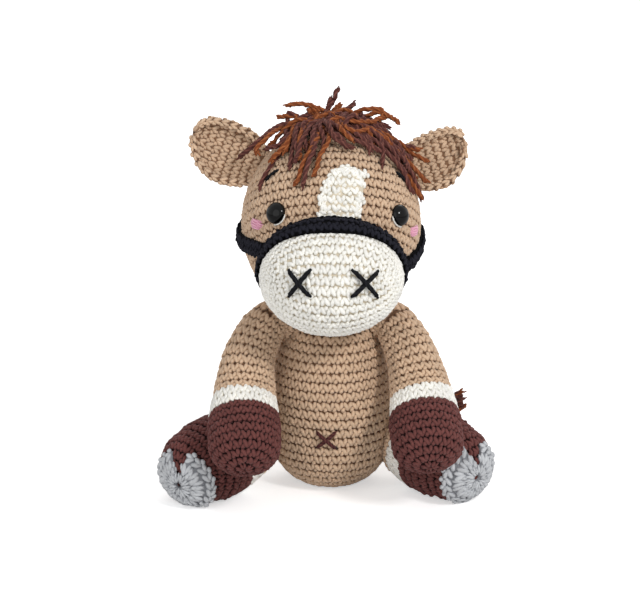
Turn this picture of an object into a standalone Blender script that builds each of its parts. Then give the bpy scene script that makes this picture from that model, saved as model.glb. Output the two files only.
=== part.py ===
"""A seated crocheted horse: stuffed body, head, muzzle and limbs, a halter, a yarn mane and tail.

Metres, +Z up. The horse sits on the floor plane, faces -Y, and its own left side is at +X.
The origin is the middle of the flat seat under the body.
"""

import math

import bmesh
import bpy
from mathutils import Matrix, Vector

COLLECTION = "crochet_horse"

# Fits: pieces that touch, pieces sewn on with yarn between, and cutters that pass a face
GAP = 0.0003
SEAM_GAP = 0.0008
OVERRUN = 0.004
SEAT_DEPTH = 0.0005

# Crocheted fabric, sewing yarn and embroidery yarn
WALL = 0.0028
STRAND_RADIUS = 0.0010

# Facets round the turned forms, the limbs and the small parts
TURNED_SIDES = 24
TURNED_ROWS = 10
LIMB_DETAIL = 4
SMALL_SIDES = 12

# Body: widest radius, height of its closed end inside the head, and its outline from the top down
BODY_RADIUS = 0.0328
BODY_HEIGHT = 0.106
BODY_OUTLINE_SHARES = (
    (0.00, 1.000),
    (0.38, 0.995),
    (0.44, 0.960),
    (0.44, 0.895),
    (0.64, 0.845),
    (0.80, 0.745),
    (0.94, 0.600),
    (0.99, 0.450),
    (1.00, 0.340),
    (0.98, 0.240),
    (0.88, 0.120),
    (0.66, 0.040),
    (0.36, 0.002),
    (0.00, 0.000),
)
NECK_SEAM_HEIGHT_SHARE = 0.906
NAVEL_HEIGHT = 0.035
NAVEL_TURN = math.radians(-7)
NAVEL_ARM = 0.0058
NAVEL_RISE_SHARE = 0.9

# Head: half width, half height, place of its centre, how it leans back and to one side, and its turn
HEAD_RADIUS = 0.048
HEAD_HALF_HEIGHT = 0.0525
HEAD_CENTRE_HEIGHT = 0.1475
HEAD_LEAN_BACK = math.radians(18)
HEAD_ROLL = math.radians(2.2)
HEAD_TURN = math.radians(2.5)
HEAD_NOD = math.radians(6)
NECK_OPENING_RADIUS = 0.012

# Muzzle, in the head's frame: half sizes, and the place and turn of its centre
MUZZLE_HALF_WIDTH = 0.038
MUZZLE_HALF_HEIGHT = 0.0305
MUZZLE_HALF_DEPTH = 0.034
MUZZLE_FORWARD = 0.035
MUZZLE_DROP = 0.0315
MUZZLE_SIDE = -0.003
MUZZLE_TURN = math.radians(-5)
NOSTRIL_SIDE = 0.0165
NOSTRIL_DROP = 0.0040
NOSTRIL_ARM = 0.0068

# Safety eyes, the white rim stitches, the brows and the cheek stitches, by angle on the head
EYE_RADIUS = 0.0058
EYE_DOME = 0.0048
EYE_TURN = math.radians(42)
EYE_LIFT = math.radians(2.5)
EYE_SHANK_RADIUS = 0.0019
EYE_SHANK_LENGTH = 0.0095
WASHER_RADIUS = 0.0062
WASHER_THICKNESS = 0.0014
EYE_WHITE_RADIUS = 0.0006
EYE_WHITE_START = math.radians(-120)
EYE_WHITE_SWEEP = math.radians(100)
BROW_ENDS = (
    (math.radians(56.5), math.radians(23.5)),
    (math.radians(46.5), math.radians(31.5)),
)
CHEEK_TURN = math.radians(58.5)
CHEEK_LIFT = math.radians(-4.8)
CHEEK_HALF_WIDTH = 0.0038
CHEEK_HALF_HEIGHT = 0.0026
CHEEK_HALF_DEPTH = 0.0012

# Blaze: a crocheted patch on the forehead, whose outline leans to the horse's left going up
BLAZE_WIDTH = 0.022
BLAZE_HEIGHT = 0.030
BLAZE_BASE = -0.003
BLAZE_THICKNESS = 0.0022
BLAZE_OUTLINE_SHARES = (
    (-0.54, 0.00),
    (0.40, 0.00),
    (0.50, 0.30),
    (0.58, 0.82),
    (0.38, 0.96),
    (0.10, 1.00),
    (-0.22, 0.84),
    (-0.42, 0.60),
    (-0.46, 0.30),
)

# Halter: a crocheted band round the muzzle and one from there round the back of the head
NOSEBAND_WIDTH = 0.0090
NOSEBAND_THICKNESS = 0.0034
STRAP_WIDTH = 0.0075
STRAP_THICKNESS = 0.0032
STRAP_TILT = math.radians(28)
STRAP_DROP = 0.0065
STRAP_GAP_SHARE = 0.6

# Ears: cupped leaves on the head's sides
EAR_HALF_LENGTH = 0.0220
EAR_HALF_WIDTH = 0.0165
EAR_HALF_DEPTH = 0.0110
EAR_THICKNESS = 0.0034
EAR_SIDE = 0.0550
EAR_HEIGHT = 0.0365
EAR_LIFT = math.radians(20)
EAR_PIVOT_SHARE = 0.62

# Mane: a cap of yarn on the crown with locks that stand up and hang down
MANE_HALF_WIDTH = 0.027
MANE_HALF_DEPTH = 0.021
MANE_HALF_HEIGHT = 0.013
MANE_FORWARD = 0.020
MANE_HEIGHT = 0.049
LOCK_RADIUS = 0.0042
LOCK_TIP_SHARE = 0.35
LOCK_REACH = 0.036
LOCK_DEPTH_SHARE = 0.8
LOCK_DROP = 0.022
LOCK_COUNT = 9
LOCK_PATH_SHARES = ((0.2, 0.30, 0.0), (0.5, 0.60, 0.0), (0.8, 0.60, 0.25), (1.0, 0.60, 0.8))
LOCK_REACH_SHARES = (1.0, 1.08, 0.9, 1.1, 0.94)
LOCK_RADIUS_SHARES = (1.0, 1.0, 0.8, LOCK_TIP_SHARE)
TUFT_HEIGHT = 0.009
TUFT_RADIUS = 0.0036
TUFT_PATH_SHARES = (0.2, 0.6, 1.0)

# Arms, for the left side: root inside the body, end of the path at the middle of the hoof's round end
ARM_ROOT = (0.012, 0.000, 0.0850)
ARM_END = (0.0490, -0.0570, 0.0443)
ARM_PATH_SHARES = (
    (0.00, 0.00, 0.00),
    (0.30, 0.03, -0.20),
    (0.64, 0.12, -0.25),
    (0.89, 0.35, 0.11),
    (0.98, 0.62, 0.58),
    (1.00, 1.00, 1.00),
)
ARM_RADIUS = 0.0190
ARM_RADIUS_SHARES = (
    (0.00, 0.48),
    (0.20, 0.54),
    (0.36, 0.62),
    (0.48, 0.68),
    (0.72, 0.88),
    (0.88, 1.00),
    (1.00, 0.98),
)
ARM_TIP = 0.0140
ARM_HOOF = 0.0215
ARM_CUFF = 0.0085
ARM_HEAD_GAP = 0.0015
ARM_LIFT = math.radians(28)

# Legs, for the left side, lying on the floor and splayed; the right one lies further out
LEG_ROOT = (0.014, 0.010, 0.0330)
LEFT_LEG_END_SIDE = 0.0668
RIGHT_LEG_END_SIDE = 0.0749
LEG_END_FRONT = 0.0320
LEG_PATH_SHARES = (
    (0.00, 0.00, 0.00),
    (0.40, 0.17, 0.32),
    (0.70, 0.56, 0.78),
    (1.00, 1.00, 1.00),
)
LEG_RADIUS = 0.0226
LEG_RADIUS_SHARES = (
    (0.00, 0.50),
    (0.34, 0.70),
    (0.52, 0.92),
    (0.72, 1.00),
    (0.88, 1.00),
    (1.00, 0.90),
)
LEG_TIP = 0.0170
LEG_HOOF = 0.0260
LEG_CUFF = 0.0085
LEG_ARM_GAP = 0.0012
LEG_FALL = math.radians(30)
SOLE_RADIUS = 0.0165
SOLE_THICKNESS = 0.0022
SOLE_HOLE_RADIUS = 0.0009
SOLE_NOTCH_ANGLE = math.radians(38)

# Tail: a yarn tassel from the back of the body, lying to the horse's left, and its tie
TAIL_ROOT_HEIGHT = 0.030
TAIL_PATH_SHARES = (
    (0.00, 0.00, 0.00),
    (0.06, 0.55, -0.10),
    (0.36, 1.00, -0.55),
    (0.72, 0.92, -0.45),
    (1.00, 0.52, 0.02),
)
TAIL_REACH = 0.078
TAIL_BACK = 0.020
TAIL_FALL = 0.030
TAIL_RADIUS = 0.0085
TAIL_RADIUS_SHARES = ((0.0, 0.42), (0.15, 0.50), (0.40, 1.0), (0.75, 0.95), (1.0, 0.40))
TAIL_STEPS = 14
TAIL_TIE_SHARE = 0.14
TAIL_TIE_WIDTH = 0.0040
TAIL_TIE_SLACK = 0.0007

TAN = "#AD8F78"
CREAM = "#EDEAE0"
BROWN = "#5E3533"
GREY = "#A3A6AA"
BLACK = "#1F1F26"
PINK = "#E8A9C0"
MANE_BROWN = "#6B3B2E"
STUFFING = "#F2F0EA"
WASHER = "#E4E4E2"
WHITE = "#F6F6F4"


def linear(hex_colour):
    """The linear RGBA of an sRGB hex colour."""
    parts = [int(hex_colour[i : i + 2], 16) / 255 for i in (1, 3, 5)]
    return [c / 12.92 if c <= 0.04045 else ((c + 0.055) / 1.055) ** 2.4 for c in parts] + [1]


def material(name, hex_colour, roughness):
    made = bpy.data.materials.get(name) or bpy.data.materials.new(name)
    made.use_nodes = True
    made.diffuse_color = linear(hex_colour)
    shader = made.node_tree.nodes["Principled BSDF"]
    shader.inputs["Base Color"].default_value = linear(hex_colour)
    shader.inputs["Roughness"].default_value = roughness
    shader.inputs["Metallic"].default_value = 0
    return made


def collection(name):
    found = bpy.data.collections.get(name)
    if not found:
        found = bpy.data.collections.new(name)
        bpy.context.scene.collection.children.link(found)
    return found


def placed(mesh, frame, name="cutter"):
    """A guide object of the mesh in the cutters' collection, out of the render."""
    made = bpy.data.objects.new(name, mesh)
    made.matrix_world = frame
    made.hide_render = True
    made.display_type = "WIRE"
    collection("cutters").objects.link(made)
    return made


def baked(source):
    """The object's evaluated shape as a plain mesh object in its place."""
    bpy.context.view_layer.update()
    view = source.evaluated_get(bpy.context.evaluated_depsgraph_get())
    mesh = bpy.data.meshes.new_from_object(view)
    weld = bmesh.new()
    weld.from_mesh(mesh)
    bmesh.ops.remove_doubles(weld, verts=weld.verts, dist=1e-6)
    weld.to_mesh(mesh)
    weld.free()
    made = placed(mesh, source.matrix_world.copy())
    bpy.data.objects.remove(source)
    return made


def boolean(target, other, operation):
    cut = target.modifiers.new(operation.lower(), "BOOLEAN")
    cut.solver = "EXACT"
    cut.operation = operation
    cut.object = other
    return target


def less(target, *others):
    for other in others:
        boolean(target, other, "DIFFERENCE")
    return baked(target)


def within(target, *others):
    for other in others:
        boolean(target, other, "INTERSECT")
    return baked(target)


def joined(target, *others):
    for other in others:
        boolean(target, other, "UNION")
    return baked(target)


def copied(source):
    return placed(source.data.copy(), source.matrix_world.copy())


def piece(name, source, hex_colour, roughness=0.9, smooth=True):
    """Turn a guide object into a named part with its own material."""
    made = bpy.data.objects.new(name, source.data.copy())
    made.data.name = name
    made.matrix_world = source.matrix_world.copy()
    made.data.materials.clear()
    made.data.materials.append(material(name, hex_colour, roughness))
    if smooth:
        made.data.shade_smooth()
        made.data.set_sharp_from_angle(angle=math.radians(50))
    collection(COLLECTION).objects.link(made)
    return made


def offset_outline(outline, extra):
    """The outline, whose ends lie on the axis, moved out along its normals."""
    moved = []
    last = len(outline) - 1
    for index, (radius, height) in enumerate(outline):
        before = outline[max(index - 1, 0)]
        after = outline[min(index + 1, last)]
        along = Vector((after[0] - before[0], after[1] - before[1])).normalized()
        out = Vector((-along.y, along.x))
        if index in (0, last):
            out = Vector((0, 1 if index == 0 else -1))
        moved.append((radius + out.x * extra, height + out.y * extra))
    return moved


def turned(outline, frame, sides=TURNED_SIDES):
    """A closed solid turned about the frame's Z from an outline that runs from the top down."""
    mesh = bpy.data.meshes.new("outline")
    points = [(radius, 0, height) for radius, height in outline]
    mesh.from_pydata(points, [(i, i + 1) for i in range(len(points) - 1)], [])
    made = placed(mesh, frame)
    screw = made.modifiers.new("turn", "SCREW")
    screw.steps = screw.render_steps = sides
    screw.use_merge_vertices = True
    screw.merge_threshold = 0.00001
    return baked(made)


def ellipsoid(half_sizes, frame, sides=TURNED_SIDES, rows=TURNED_ROWS):
    mesh = bpy.data.meshes.new("ellipsoid")
    shape = bmesh.new()
    bmesh.ops.create_uvsphere(shape, u_segments=sides, v_segments=rows, radius=1)
    bmesh.ops.scale(shape, vec=Vector(half_sizes), verts=shape.verts)
    shape.to_mesh(mesh)
    shape.free()
    return placed(mesh, frame)


def block(low, high, frame=Matrix()):
    mesh = bpy.data.meshes.new("block")
    shape = bmesh.new()
    bmesh.ops.create_cube(shape, size=1)
    low, high = Vector(low), Vector(high)
    bmesh.ops.scale(shape, vec=high - low, verts=shape.verts)
    bmesh.ops.translate(shape, vec=(low + high) / 2, verts=shape.verts)
    shape.to_mesh(mesh)
    shape.free()
    return placed(mesh, frame)


def rod(radius, low, high, frame, sides=SMALL_SIDES):
    """A cylinder on the frame's Z from one height to another."""
    mesh = bpy.data.meshes.new("rod")
    shape = bmesh.new()
    bmesh.ops.create_cone(
        shape, cap_ends=True, segments=sides, radius1=radius, radius2=radius, depth=high - low
    )
    bmesh.ops.translate(shape, vec=Vector((0, 0, (low + high) / 2)), verts=shape.verts)
    shape.to_mesh(mesh)
    shape.free()
    return placed(mesh, frame)


def tube(points, radii, frame=Matrix(), detail=LIMB_DETAIL, closed=False):
    """A tube of changing radius through the points, closed by caps unless it is a ring."""
    curve = bpy.data.curves.new("tube", "CURVE")
    curve.dimensions = "3D"
    curve.twist_mode = "Z_UP"
    curve.bevel_depth = 1
    curve.bevel_resolution = detail
    curve.use_fill_caps = not closed
    spline = curve.splines.new("POLY")
    spline.points.add(len(points) - 1)
    spline.use_cyclic_u = closed
    for place, point, radius in zip(spline.points, points, radii):
        place.co = (*point, 1)
        place.radius = radius
    guide = bpy.data.objects.new("tube", curve)
    guide.matrix_world = frame
    collection("cutters").objects.link(guide)
    made = baked(guide)
    split = bmesh.new()
    split.from_mesh(made.data)
    bmesh.ops.triangulate(split, faces=split.faces, quad_method="FIXED")
    split.to_mesh(made.data)
    split.free()
    return made


def through(points, share):
    """The place at a share of the way along a smooth curve through evenly shared points."""
    last = len(points) - 1
    index = min(int(share * last), last - 1)
    t = share * last - index
    p = [Vector(points[min(max(index + k, 0), last)]) for k in (-1, 0, 1, 2)]
    return (
        p[1]
        + (p[2] - p[0]) * (t / 2)
        + (2 * p[0] - 5 * p[1] + 4 * p[2] - p[3]) * (t * t / 2)
        + (3 * p[1] - p[0] - 3 * p[2] + p[3]) * (t * t * t / 2)
    )


def between(pairs, share):
    """The value at a share along a table of (share, value) pairs."""
    for (low, first), (high, second) in zip(pairs, pairs[1:]):
        if share <= high:
            return first + (second - first) * (share - low) / (high - low)
    return pairs[-1][1]


def frame_towards(place, direction, up=Vector((0, 0, 1))):
    """A frame at the place whose Z points along the direction and whose Y leans to up."""
    z = Vector(direction).normalized()
    x = up.cross(z).normalized()
    y = z.cross(x)
    turn = Matrix((x, y, z)).transposed().to_4x4()
    return Matrix.Translation(place) @ turn


class Limb:
    """A stuffed limb: a curved path from its root to its round end, with a radius along it."""

    FINE_STEPS = 120
    TIP_STEPS = 4

    def __init__(self, root, end, path_shares, radius, radius_shares, tip, side):
        root, end = Vector(root), Vector(end)
        reach = end - root
        places = [
            Vector((side * (root.x + reach.x * x), root.y + reach.y * y, root.z + reach.z * z))
            for x, y, z in path_shares
        ]
        fine = [through(places, i / self.FINE_STEPS) for i in range(self.FINE_STEPS + 1)]
        run = [0]
        for first, second in zip(fine, fine[1:]):
            run.append(run[-1] + (second - first).length)
        self.fine, self.run, self.length = fine, run, run[-1]
        self.radius, self.radius_shares, self.tip = radius, radius_shares, tip

    def at(self, distance):
        for index, reached in enumerate(self.run[1:], 1):
            if distance <= reached or index == self.FINE_STEPS:
                step = reached - self.run[index - 1]
                t = (distance - self.run[index - 1]) / step
                return self.fine[index - 1].lerp(self.fine[index], t)

    def heading(self, distance):
        step = self.length / self.FINE_STEPS
        return (self.at(distance + step / 2) - self.at(distance - step / 2)).normalized()

    def end_heading(self):
        return (self.fine[-1] - self.fine[-2]).normalized()

    def form(self, extra, rows=8):
        """The limb's closed outer form, moved out by the extra."""
        points = [self.at(self.length * i / rows) for i in range(rows + 1)]
        radii = [self.radius * between(self.radius_shares, i / rows) + extra for i in range(rows + 1)]
        out = self.end_heading()
        for step in range(1, self.TIP_STEPS + 1):
            angle = math.pi / 2 * step / self.TIP_STEPS
            points.append(self.fine[-1] + out * ((self.tip + extra) * math.sin(angle)))
            radii.append(radii[rows] * math.cos(angle))
        radii[-1] = 0
        return tube(points, radii)

    def beyond(self, distance):
        """A block that covers all of the limb past a distance from its root."""
        size = self.length + self.radius * 2
        frame = frame_towards(self.at(distance), self.heading(distance))
        return block((-size, -size, 0), (size, size, size * 2), frame)


def body_outline():
    return [(r * BODY_RADIUS, z * BODY_HEIGHT - SEAT_DEPTH) for r, z in BODY_OUTLINE_SHARES]


def body_form(extra):
    return turned(offset_outline(body_outline(), extra), Matrix())


def body_radius(height):
    """The body's outer radius at a height below its widest place or above it."""
    outline = body_outline()[1:-1]
    for (r0, z0), (r1, z1) in zip(outline, outline[1:]):
        if z1 <= height <= z0:
            return r0 + (r1 - r0) * (height - z0) / (z1 - z0)
    return outline[-1][0]


def body_frame(turn, height):
    """A frame on the body's surface whose Z points out of it."""
    step = SEAT_DEPTH
    slope = (body_radius(height + step) - body_radius(height - step)) / (2 * step)
    out = Vector((math.sin(turn), -math.cos(turn), -slope))
    radius = body_radius(height)
    place = Vector((math.sin(turn) * radius, -math.cos(turn) * radius, height))
    return frame_towards(place, out)


HEAD_FRAME = (
    Matrix.Translation((0, 0, HEAD_CENTRE_HEIGHT))
    @ Matrix.Rotation(HEAD_TURN, 4, "Z")
    @ Matrix.Rotation(HEAD_ROLL, 4, "Y")
    @ Matrix.Rotation(-HEAD_LEAN_BACK, 4, "X")
)
MUZZLE_FRAME = (
    HEAD_FRAME
    @ Matrix.Translation((MUZZLE_SIDE, -MUZZLE_FORWARD, -MUZZLE_DROP))
    @ Matrix.Rotation(MUZZLE_TURN, 4, "Z")
)


def head_form(extra):
    radius = HEAD_RADIUS + extra
    return ellipsoid((radius, radius, HEAD_HALF_HEIGHT + extra), HEAD_FRAME)


def muzzle_form(extra):
    sizes = (MUZZLE_HALF_WIDTH + extra, MUZZLE_HALF_DEPTH + extra, MUZZLE_HALF_HEIGHT + extra)
    return ellipsoid(sizes, MUZZLE_FRAME)


def facet_depth(radius):
    """How far the middle of a turned form's facet lies inside its true radius."""
    return radius * (1 - math.cos(math.pi / TURNED_SIDES))


def on_ellipsoid(half_sizes, direction, height):
    """The place on an ellipsoid's surface in a direction from its centre, and the way out of it."""
    a = Vector(half_sizes)
    d = Vector(direction).normalized()
    reach = 1 / math.sqrt(sum((d[i] / a[i]) ** 2 for i in range(3)))
    place = d * reach
    out = Vector([place[i] / a[i] ** 2 for i in range(3)]).normalized()
    return place + out * height, out


def on_head(turn, lift, height=0):
    direction = (math.sin(turn) * math.cos(lift), -math.cos(turn) * math.cos(lift), math.sin(lift))
    return on_ellipsoid((HEAD_RADIUS, HEAD_RADIUS, HEAD_HALF_HEIGHT), direction, height)


def head_surface_frame(turn, lift):
    place, out = on_head(turn, lift)
    return HEAD_FRAME @ frame_towards(place, out)


def cross_stitch(arm, reach, surface, frame):
    """Two strands that follow a surface, the second over the first, joined into one solid."""
    spread = (-1, -0.5, 0, 0.5, 1)
    strands = []
    for slope, rise in ((1, 0), (-1, STRAND_RADIUS)):
        points = [surface(arm * t, arm * t * slope * reach, rise * (1 - abs(t))) for t in spread]
        strands.append(tube(points, [STRAND_RADIUS] * len(points), frame, detail=2))
    return joined(*strands)


def make_body():
    """The body's open top is dished, clear of the head from rest to its full nod."""
    head_clear = swept((head_form(SEAM_GAP),), Vector((0, 0, HEAD_CENTRE_HEIGHT)), HEAD_NOD)
    cover = less(body_form(0), body_form(-WALL), *head_clear, floor_block())
    piece("body_cover", cover, TAN)
    piece("body_stuffing", less(body_form(-WALL - GAP), *head_clear), STUFFING)

    height = BODY_HEIGHT * NECK_SEAM_HEIGHT_SHARE
    radius = body_radius(height) + GAP + STRAND_RADIUS
    turns = [math.tau * i / TURNED_SIDES for i in range(TURNED_SIDES)]
    ring = [(radius * math.cos(a), radius * math.sin(a), height) for a in turns]
    seam = tube(ring, [STRAND_RADIUS] * TURNED_SIDES, detail=1, closed=True)
    piece("neck_seam", seam, TAN)

    def on_body(side, up, rise):
        level = NAVEL_HEIGHT + up
        turn = NAVEL_TURN + side / body_radius(level)
        out = body_radius(level) + GAP + STRAND_RADIUS + rise
        return Vector((math.sin(turn) * out, -math.cos(turn) * out, level))

    piece("navel_stitch", cross_stitch(NAVEL_ARM, NAVEL_RISE_SHARE, on_body, Matrix()), BROWN)


def eye_frame(side):
    return head_surface_frame(side * EYE_TURN, EYE_LIFT)


def make_head():
    wall_end = HEAD_HALF_HEIGHT + OVERRUN
    opening = rod(NECK_OPENING_RADIUS, -wall_end, -wall_end + WALL + OVERRUN * 2, HEAD_FRAME, TURNED_SIDES)
    cover = less(head_form(0), head_form(-WALL), opening)
    stuffing = head_form(-WALL - GAP)
    pocket_depth = EYE_SHANK_LENGTH + GAP
    for side in (-1, 1):
        frame = eye_frame(side)
        cover = less(cover, rod(EYE_SHANK_RADIUS + GAP, -pocket_depth, OVERRUN, frame))
        stuffing = less(stuffing, rod(WASHER_RADIUS + GAP, -pocket_depth, OVERRUN, frame))
    piece("head_cover", cover, TAN)
    piece("head_stuffing", stuffing, STUFFING)


def make_muzzle():
    head_clear = head_form(GAP)
    piece("muzzle_cover", less(muzzle_form(0), muzzle_form(-WALL), head_clear), CREAM)
    piece("muzzle_stuffing", less(muzzle_form(-WALL - GAP), head_clear), STUFFING)

    sizes = (MUZZLE_HALF_WIDTH, MUZZLE_HALF_DEPTH, MUZZLE_HALF_HEIGHT)
    for name, side in (("left", 1), ("right", -1)):

        def on_muzzle(across, up, rise):
            x, z = side * NOSTRIL_SIDE + across, up - NOSTRIL_DROP
            depth = MUZZLE_HALF_DEPTH * math.sqrt(
                1 - (x / MUZZLE_HALF_WIDTH) ** 2 - (z / MUZZLE_HALF_HEIGHT) ** 2
            )
            return on_ellipsoid(sizes, (x, -depth, z), GAP + STRAND_RADIUS + rise)[0]

        stitch = cross_stitch(NOSTRIL_ARM, 1, on_muzzle, MUZZLE_FRAME)
        piece(f"{name}_nostril_stitch", stitch, BLACK)


def make_halter():
    """The noseband hugs the join of muzzle and head; the strap circles the back of the head."""
    head_clear = head_form(GAP)
    band = within(muzzle_form(GAP + NOSEBAND_THICKNESS), head_form(GAP + NOSEBAND_WIDTH))
    piece("noseband", less(band, muzzle_form(GAP), head_clear), BLACK)

    reach = (HEAD_RADIUS + STRAP_THICKNESS) * 2
    tilt = HEAD_FRAME @ Matrix.Translation((0, 0, -STRAP_DROP)) @ Matrix.Rotation(STRAP_TILT, 4, "X")
    slab = block((-reach, -reach, -STRAP_WIDTH / 2), (reach, reach, STRAP_WIDTH / 2), tilt)
    strap = within(head_form(GAP + STRAP_THICKNESS), slab)
    open_half = HEAD_RADIUS * STRAP_GAP_SHARE
    face = block((-open_half, -reach, -reach), (open_half, 0, reach), HEAD_FRAME)
    strap = less(strap, head_clear, muzzle_form(GAP * 2 + NOSEBAND_THICKNESS), face)
    piece("cheek_strap", strap, BLACK)


def make_blaze():
    curve = bpy.data.curves.new("outline", "CURVE")
    curve.dimensions = "2D"
    curve.fill_mode = "BOTH"
    curve.extrude = HEAD_RADIUS
    spline = curve.splines.new("POLY")
    spline.points.add(len(BLAZE_OUTLINE_SHARES) - 1)
    spline.use_cyclic_u = True
    for place, (x, z) in zip(spline.points, BLAZE_OUTLINE_SHARES):
        place.co = (x * BLAZE_WIDTH, z * BLAZE_HEIGHT, 0, 1)
    guide = bpy.data.objects.new("outline", curve)
    upright = Matrix.Rotation(math.pi / 2, 4, "X")
    guide.matrix_world = HEAD_FRAME @ Matrix.Translation((0, -HEAD_RADIUS, BLAZE_BASE)) @ upright
    collection("cutters").objects.link(guide)
    outline = baked(guide)
    patch = within(head_form(GAP + BLAZE_THICKNESS), outline)
    clear = muzzle_form(GAP * 2 + NOSEBAND_THICKNESS)
    piece("blaze", less(patch, head_form(GAP), clear), CREAM)


def make_eyes():
    for name, side in (("left", 1), ("right", -1)):
        frame = eye_frame(side)
        dome = [
            (EYE_RADIUS * math.sin(a), GAP + EYE_DOME * math.cos(a))
            for a in [math.pi / 2 * i / 6 for i in range(7)]
        ]
        shank = [
            (EYE_SHANK_RADIUS, GAP),
            (EYE_SHANK_RADIUS, -EYE_SHANK_LENGTH),
            (0, -EYE_SHANK_LENGTH),
        ]
        piece(f"{name}_eye", turned(dome + shank, frame, 20), BLACK, 0.08)
        inside = HEAD_RADIUS - WALL
        rim_drop = inside - math.sqrt(inside**2 - WASHER_RADIUS**2)
        depth = WALL + facet_depth(inside) * 2 + rim_drop + GAP
        washer = less(
            rod(WASHER_RADIUS, -depth - WASHER_THICKNESS, -depth, frame, 20),
            rod(EYE_SHANK_RADIUS + GAP, -depth - OVERRUN, OVERRUN, frame, 20),
        )
        piece(f"{name}_eye_washer", washer, WASHER, 0.5)

        rim = EYE_RADIUS + EYE_WHITE_RADIUS + GAP
        points = []
        for i in range(7):
            angle = EYE_WHITE_START + EYE_WHITE_SWEEP * i / 6
            across, up = rim * math.cos(angle) * -side, rim * math.sin(angle)
            turn = side * EYE_TURN + across / HEAD_RADIUS
            points.append(on_head(turn, EYE_LIFT + up / HEAD_RADIUS, GAP + EYE_WHITE_RADIUS)[0])
        white = tube(points, [EYE_WHITE_RADIUS] * 7, HEAD_FRAME, detail=1)
        piece(f"{name}_eye_white", white, WHITE)


def make_brows_and_cheeks():
    for name, side in (("left", 1), ("right", -1)):
        (turn0, lift0), (turn1, lift1) = BROW_ENDS
        points = []
        for t in (0, 0.25, 0.5, 0.75, 1):
            turn, lift = turn0 + (turn1 - turn0) * t, lift0 + (lift1 - lift0) * t
            points.append(on_head(side * turn, lift, STRAND_RADIUS / 2)[0])
        brow = tube(points, [STRAND_RADIUS] * 5, HEAD_FRAME, detail=2)
        piece(f"{name}_brow", less(brow, head_form(GAP)), BLACK)

        frame = head_surface_frame(side * CHEEK_TURN, CHEEK_LIFT)
        pad = ellipsoid((CHEEK_HALF_WIDTH, CHEEK_HALF_HEIGHT, CHEEK_HALF_DEPTH), frame, SMALL_SIDES, 6)
        piece(f"{name}_cheek_stitch", less(pad, head_form(GAP)), PINK)


def ear_frame(side):
    """Z along the ear from its root to its tip, Y to the back of the head."""
    return (
        HEAD_FRAME
        @ Matrix.Translation((side * EAR_SIDE, 0, EAR_HEIGHT))
        @ Matrix.Rotation(side * (math.pi / 2 - EAR_LIFT), 4, "Y")
    )


def make_ears():
    head_clear = head_form(SEAM_GAP)
    inner = [size - EAR_THICKNESS for size in (EAR_HALF_WIDTH, EAR_HALF_DEPTH, EAR_HALF_LENGTH)]
    for name, side in (("left", 1), ("right", -1)):
        frame = ear_frame(side)
        cup = ellipsoid((EAR_HALF_WIDTH, EAR_HALF_DEPTH, EAR_HALF_LENGTH), frame, 20, 12)
        hollow = ellipsoid(inner, frame, 20, 12)
        front = block(
            (-EAR_HALF_LENGTH, -EAR_HALF_LENGTH, -EAR_HALF_LENGTH * 2),
            (EAR_HALF_LENGTH, 0, EAR_HALF_LENGTH * 2),
            frame,
        )
        ear = piece(f"{name}_ear", less(cup, hollow, front, head_clear), TAN)
        pivot = frame @ Vector((0, 0, -EAR_HALF_LENGTH * EAR_PIVOT_SHARE))
        hang([ear], f"{name}_ear_pivot", pivot)


def hang(pieces, name, place):
    """Parent the pieces to an empty on their joint, leaving them where they are."""
    empty = bpy.data.objects.new(name, None)
    empty.location = place
    empty.empty_display_size = HEAD_RADIUS / 2
    collection(COLLECTION).objects.link(empty)
    bpy.context.view_layer.update()
    for made in pieces:
        world = made.matrix_world.copy()
        made.parent = empty
        made.matrix_parent_inverse = empty.matrix_world.inverted()
        made.matrix_world = world


def make_mane():
    """A cap on the crown with a fan of locks round it and one tuft that stands up."""
    frame = HEAD_FRAME @ Matrix.Translation((0, -MANE_FORWARD, MANE_HEIGHT))
    cap = ellipsoid((MANE_HALF_WIDTH, MANE_HALF_DEPTH, MANE_HALF_HEIGHT), frame, 16, 8)
    locks = []
    for index in range(LOCK_COUNT):
        turn = math.tau * (index + 0.5) / LOCK_COUNT
        reach = LOCK_REACH * LOCK_REACH_SHARES[index % len(LOCK_REACH_SHARES)]
        across, ahead = reach * math.cos(turn), reach * math.sin(turn) * LOCK_DEPTH_SHARE
        path = [
            (across * out, ahead * out, MANE_HALF_HEIGHT * rise - LOCK_DROP * fall)
            for out, rise, fall in LOCK_PATH_SHARES
        ]
        radii = [LOCK_RADIUS * share for share in LOCK_RADIUS_SHARES]
        locks.append(tube(path, radii, frame, detail=1))
    rise = MANE_HALF_HEIGHT + TUFT_HEIGHT
    tuft_points = [(0, 0, rise * share) for share in TUFT_PATH_SHARES]
    tuft_radii = [TUFT_RADIUS, TUFT_RADIUS, TUFT_RADIUS * LOCK_TIP_SHARE]
    locks.append(tube(tuft_points, tuft_radii, frame, detail=1))
    mane = less(joined(cap, *locks), head_form(GAP))
    piece("mane", mane, MANE_BROWN)


def limb_pieces(label, limb, hoof, cuff, clear_of):
    """The limb's fabric tube in three colours, from the body to the hoof, and its stuffing."""
    shell = less(limb.form(0), limb.form(-WALL), *clear_of)
    cuff_end = limb.length - hoof
    cuff_start = cuff_end - cuff
    sleeve = less(copied(shell), limb.beyond(cuff_start - GAP / 2))
    band = less(within(copied(shell), limb.beyond(cuff_start + GAP / 2)), limb.beyond(cuff_end - GAP / 2))
    cup = within(shell, limb.beyond(cuff_end + GAP / 2))
    stuffing = less(limb.form(-WALL - GAP), *clear_of)
    return [
        piece(f"{label}_sleeve", sleeve, TAN),
        piece(f"{label}_cuff", band, CREAM),
        piece(f"{label}_hoof", cup, BROWN),
        piece(f"{label}_stuffing", stuffing, STUFFING),
    ]


def floor_block():
    reach = BODY_HEIGHT * 2
    return block((-reach, -reach, -reach), (reach, reach, 0))


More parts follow.
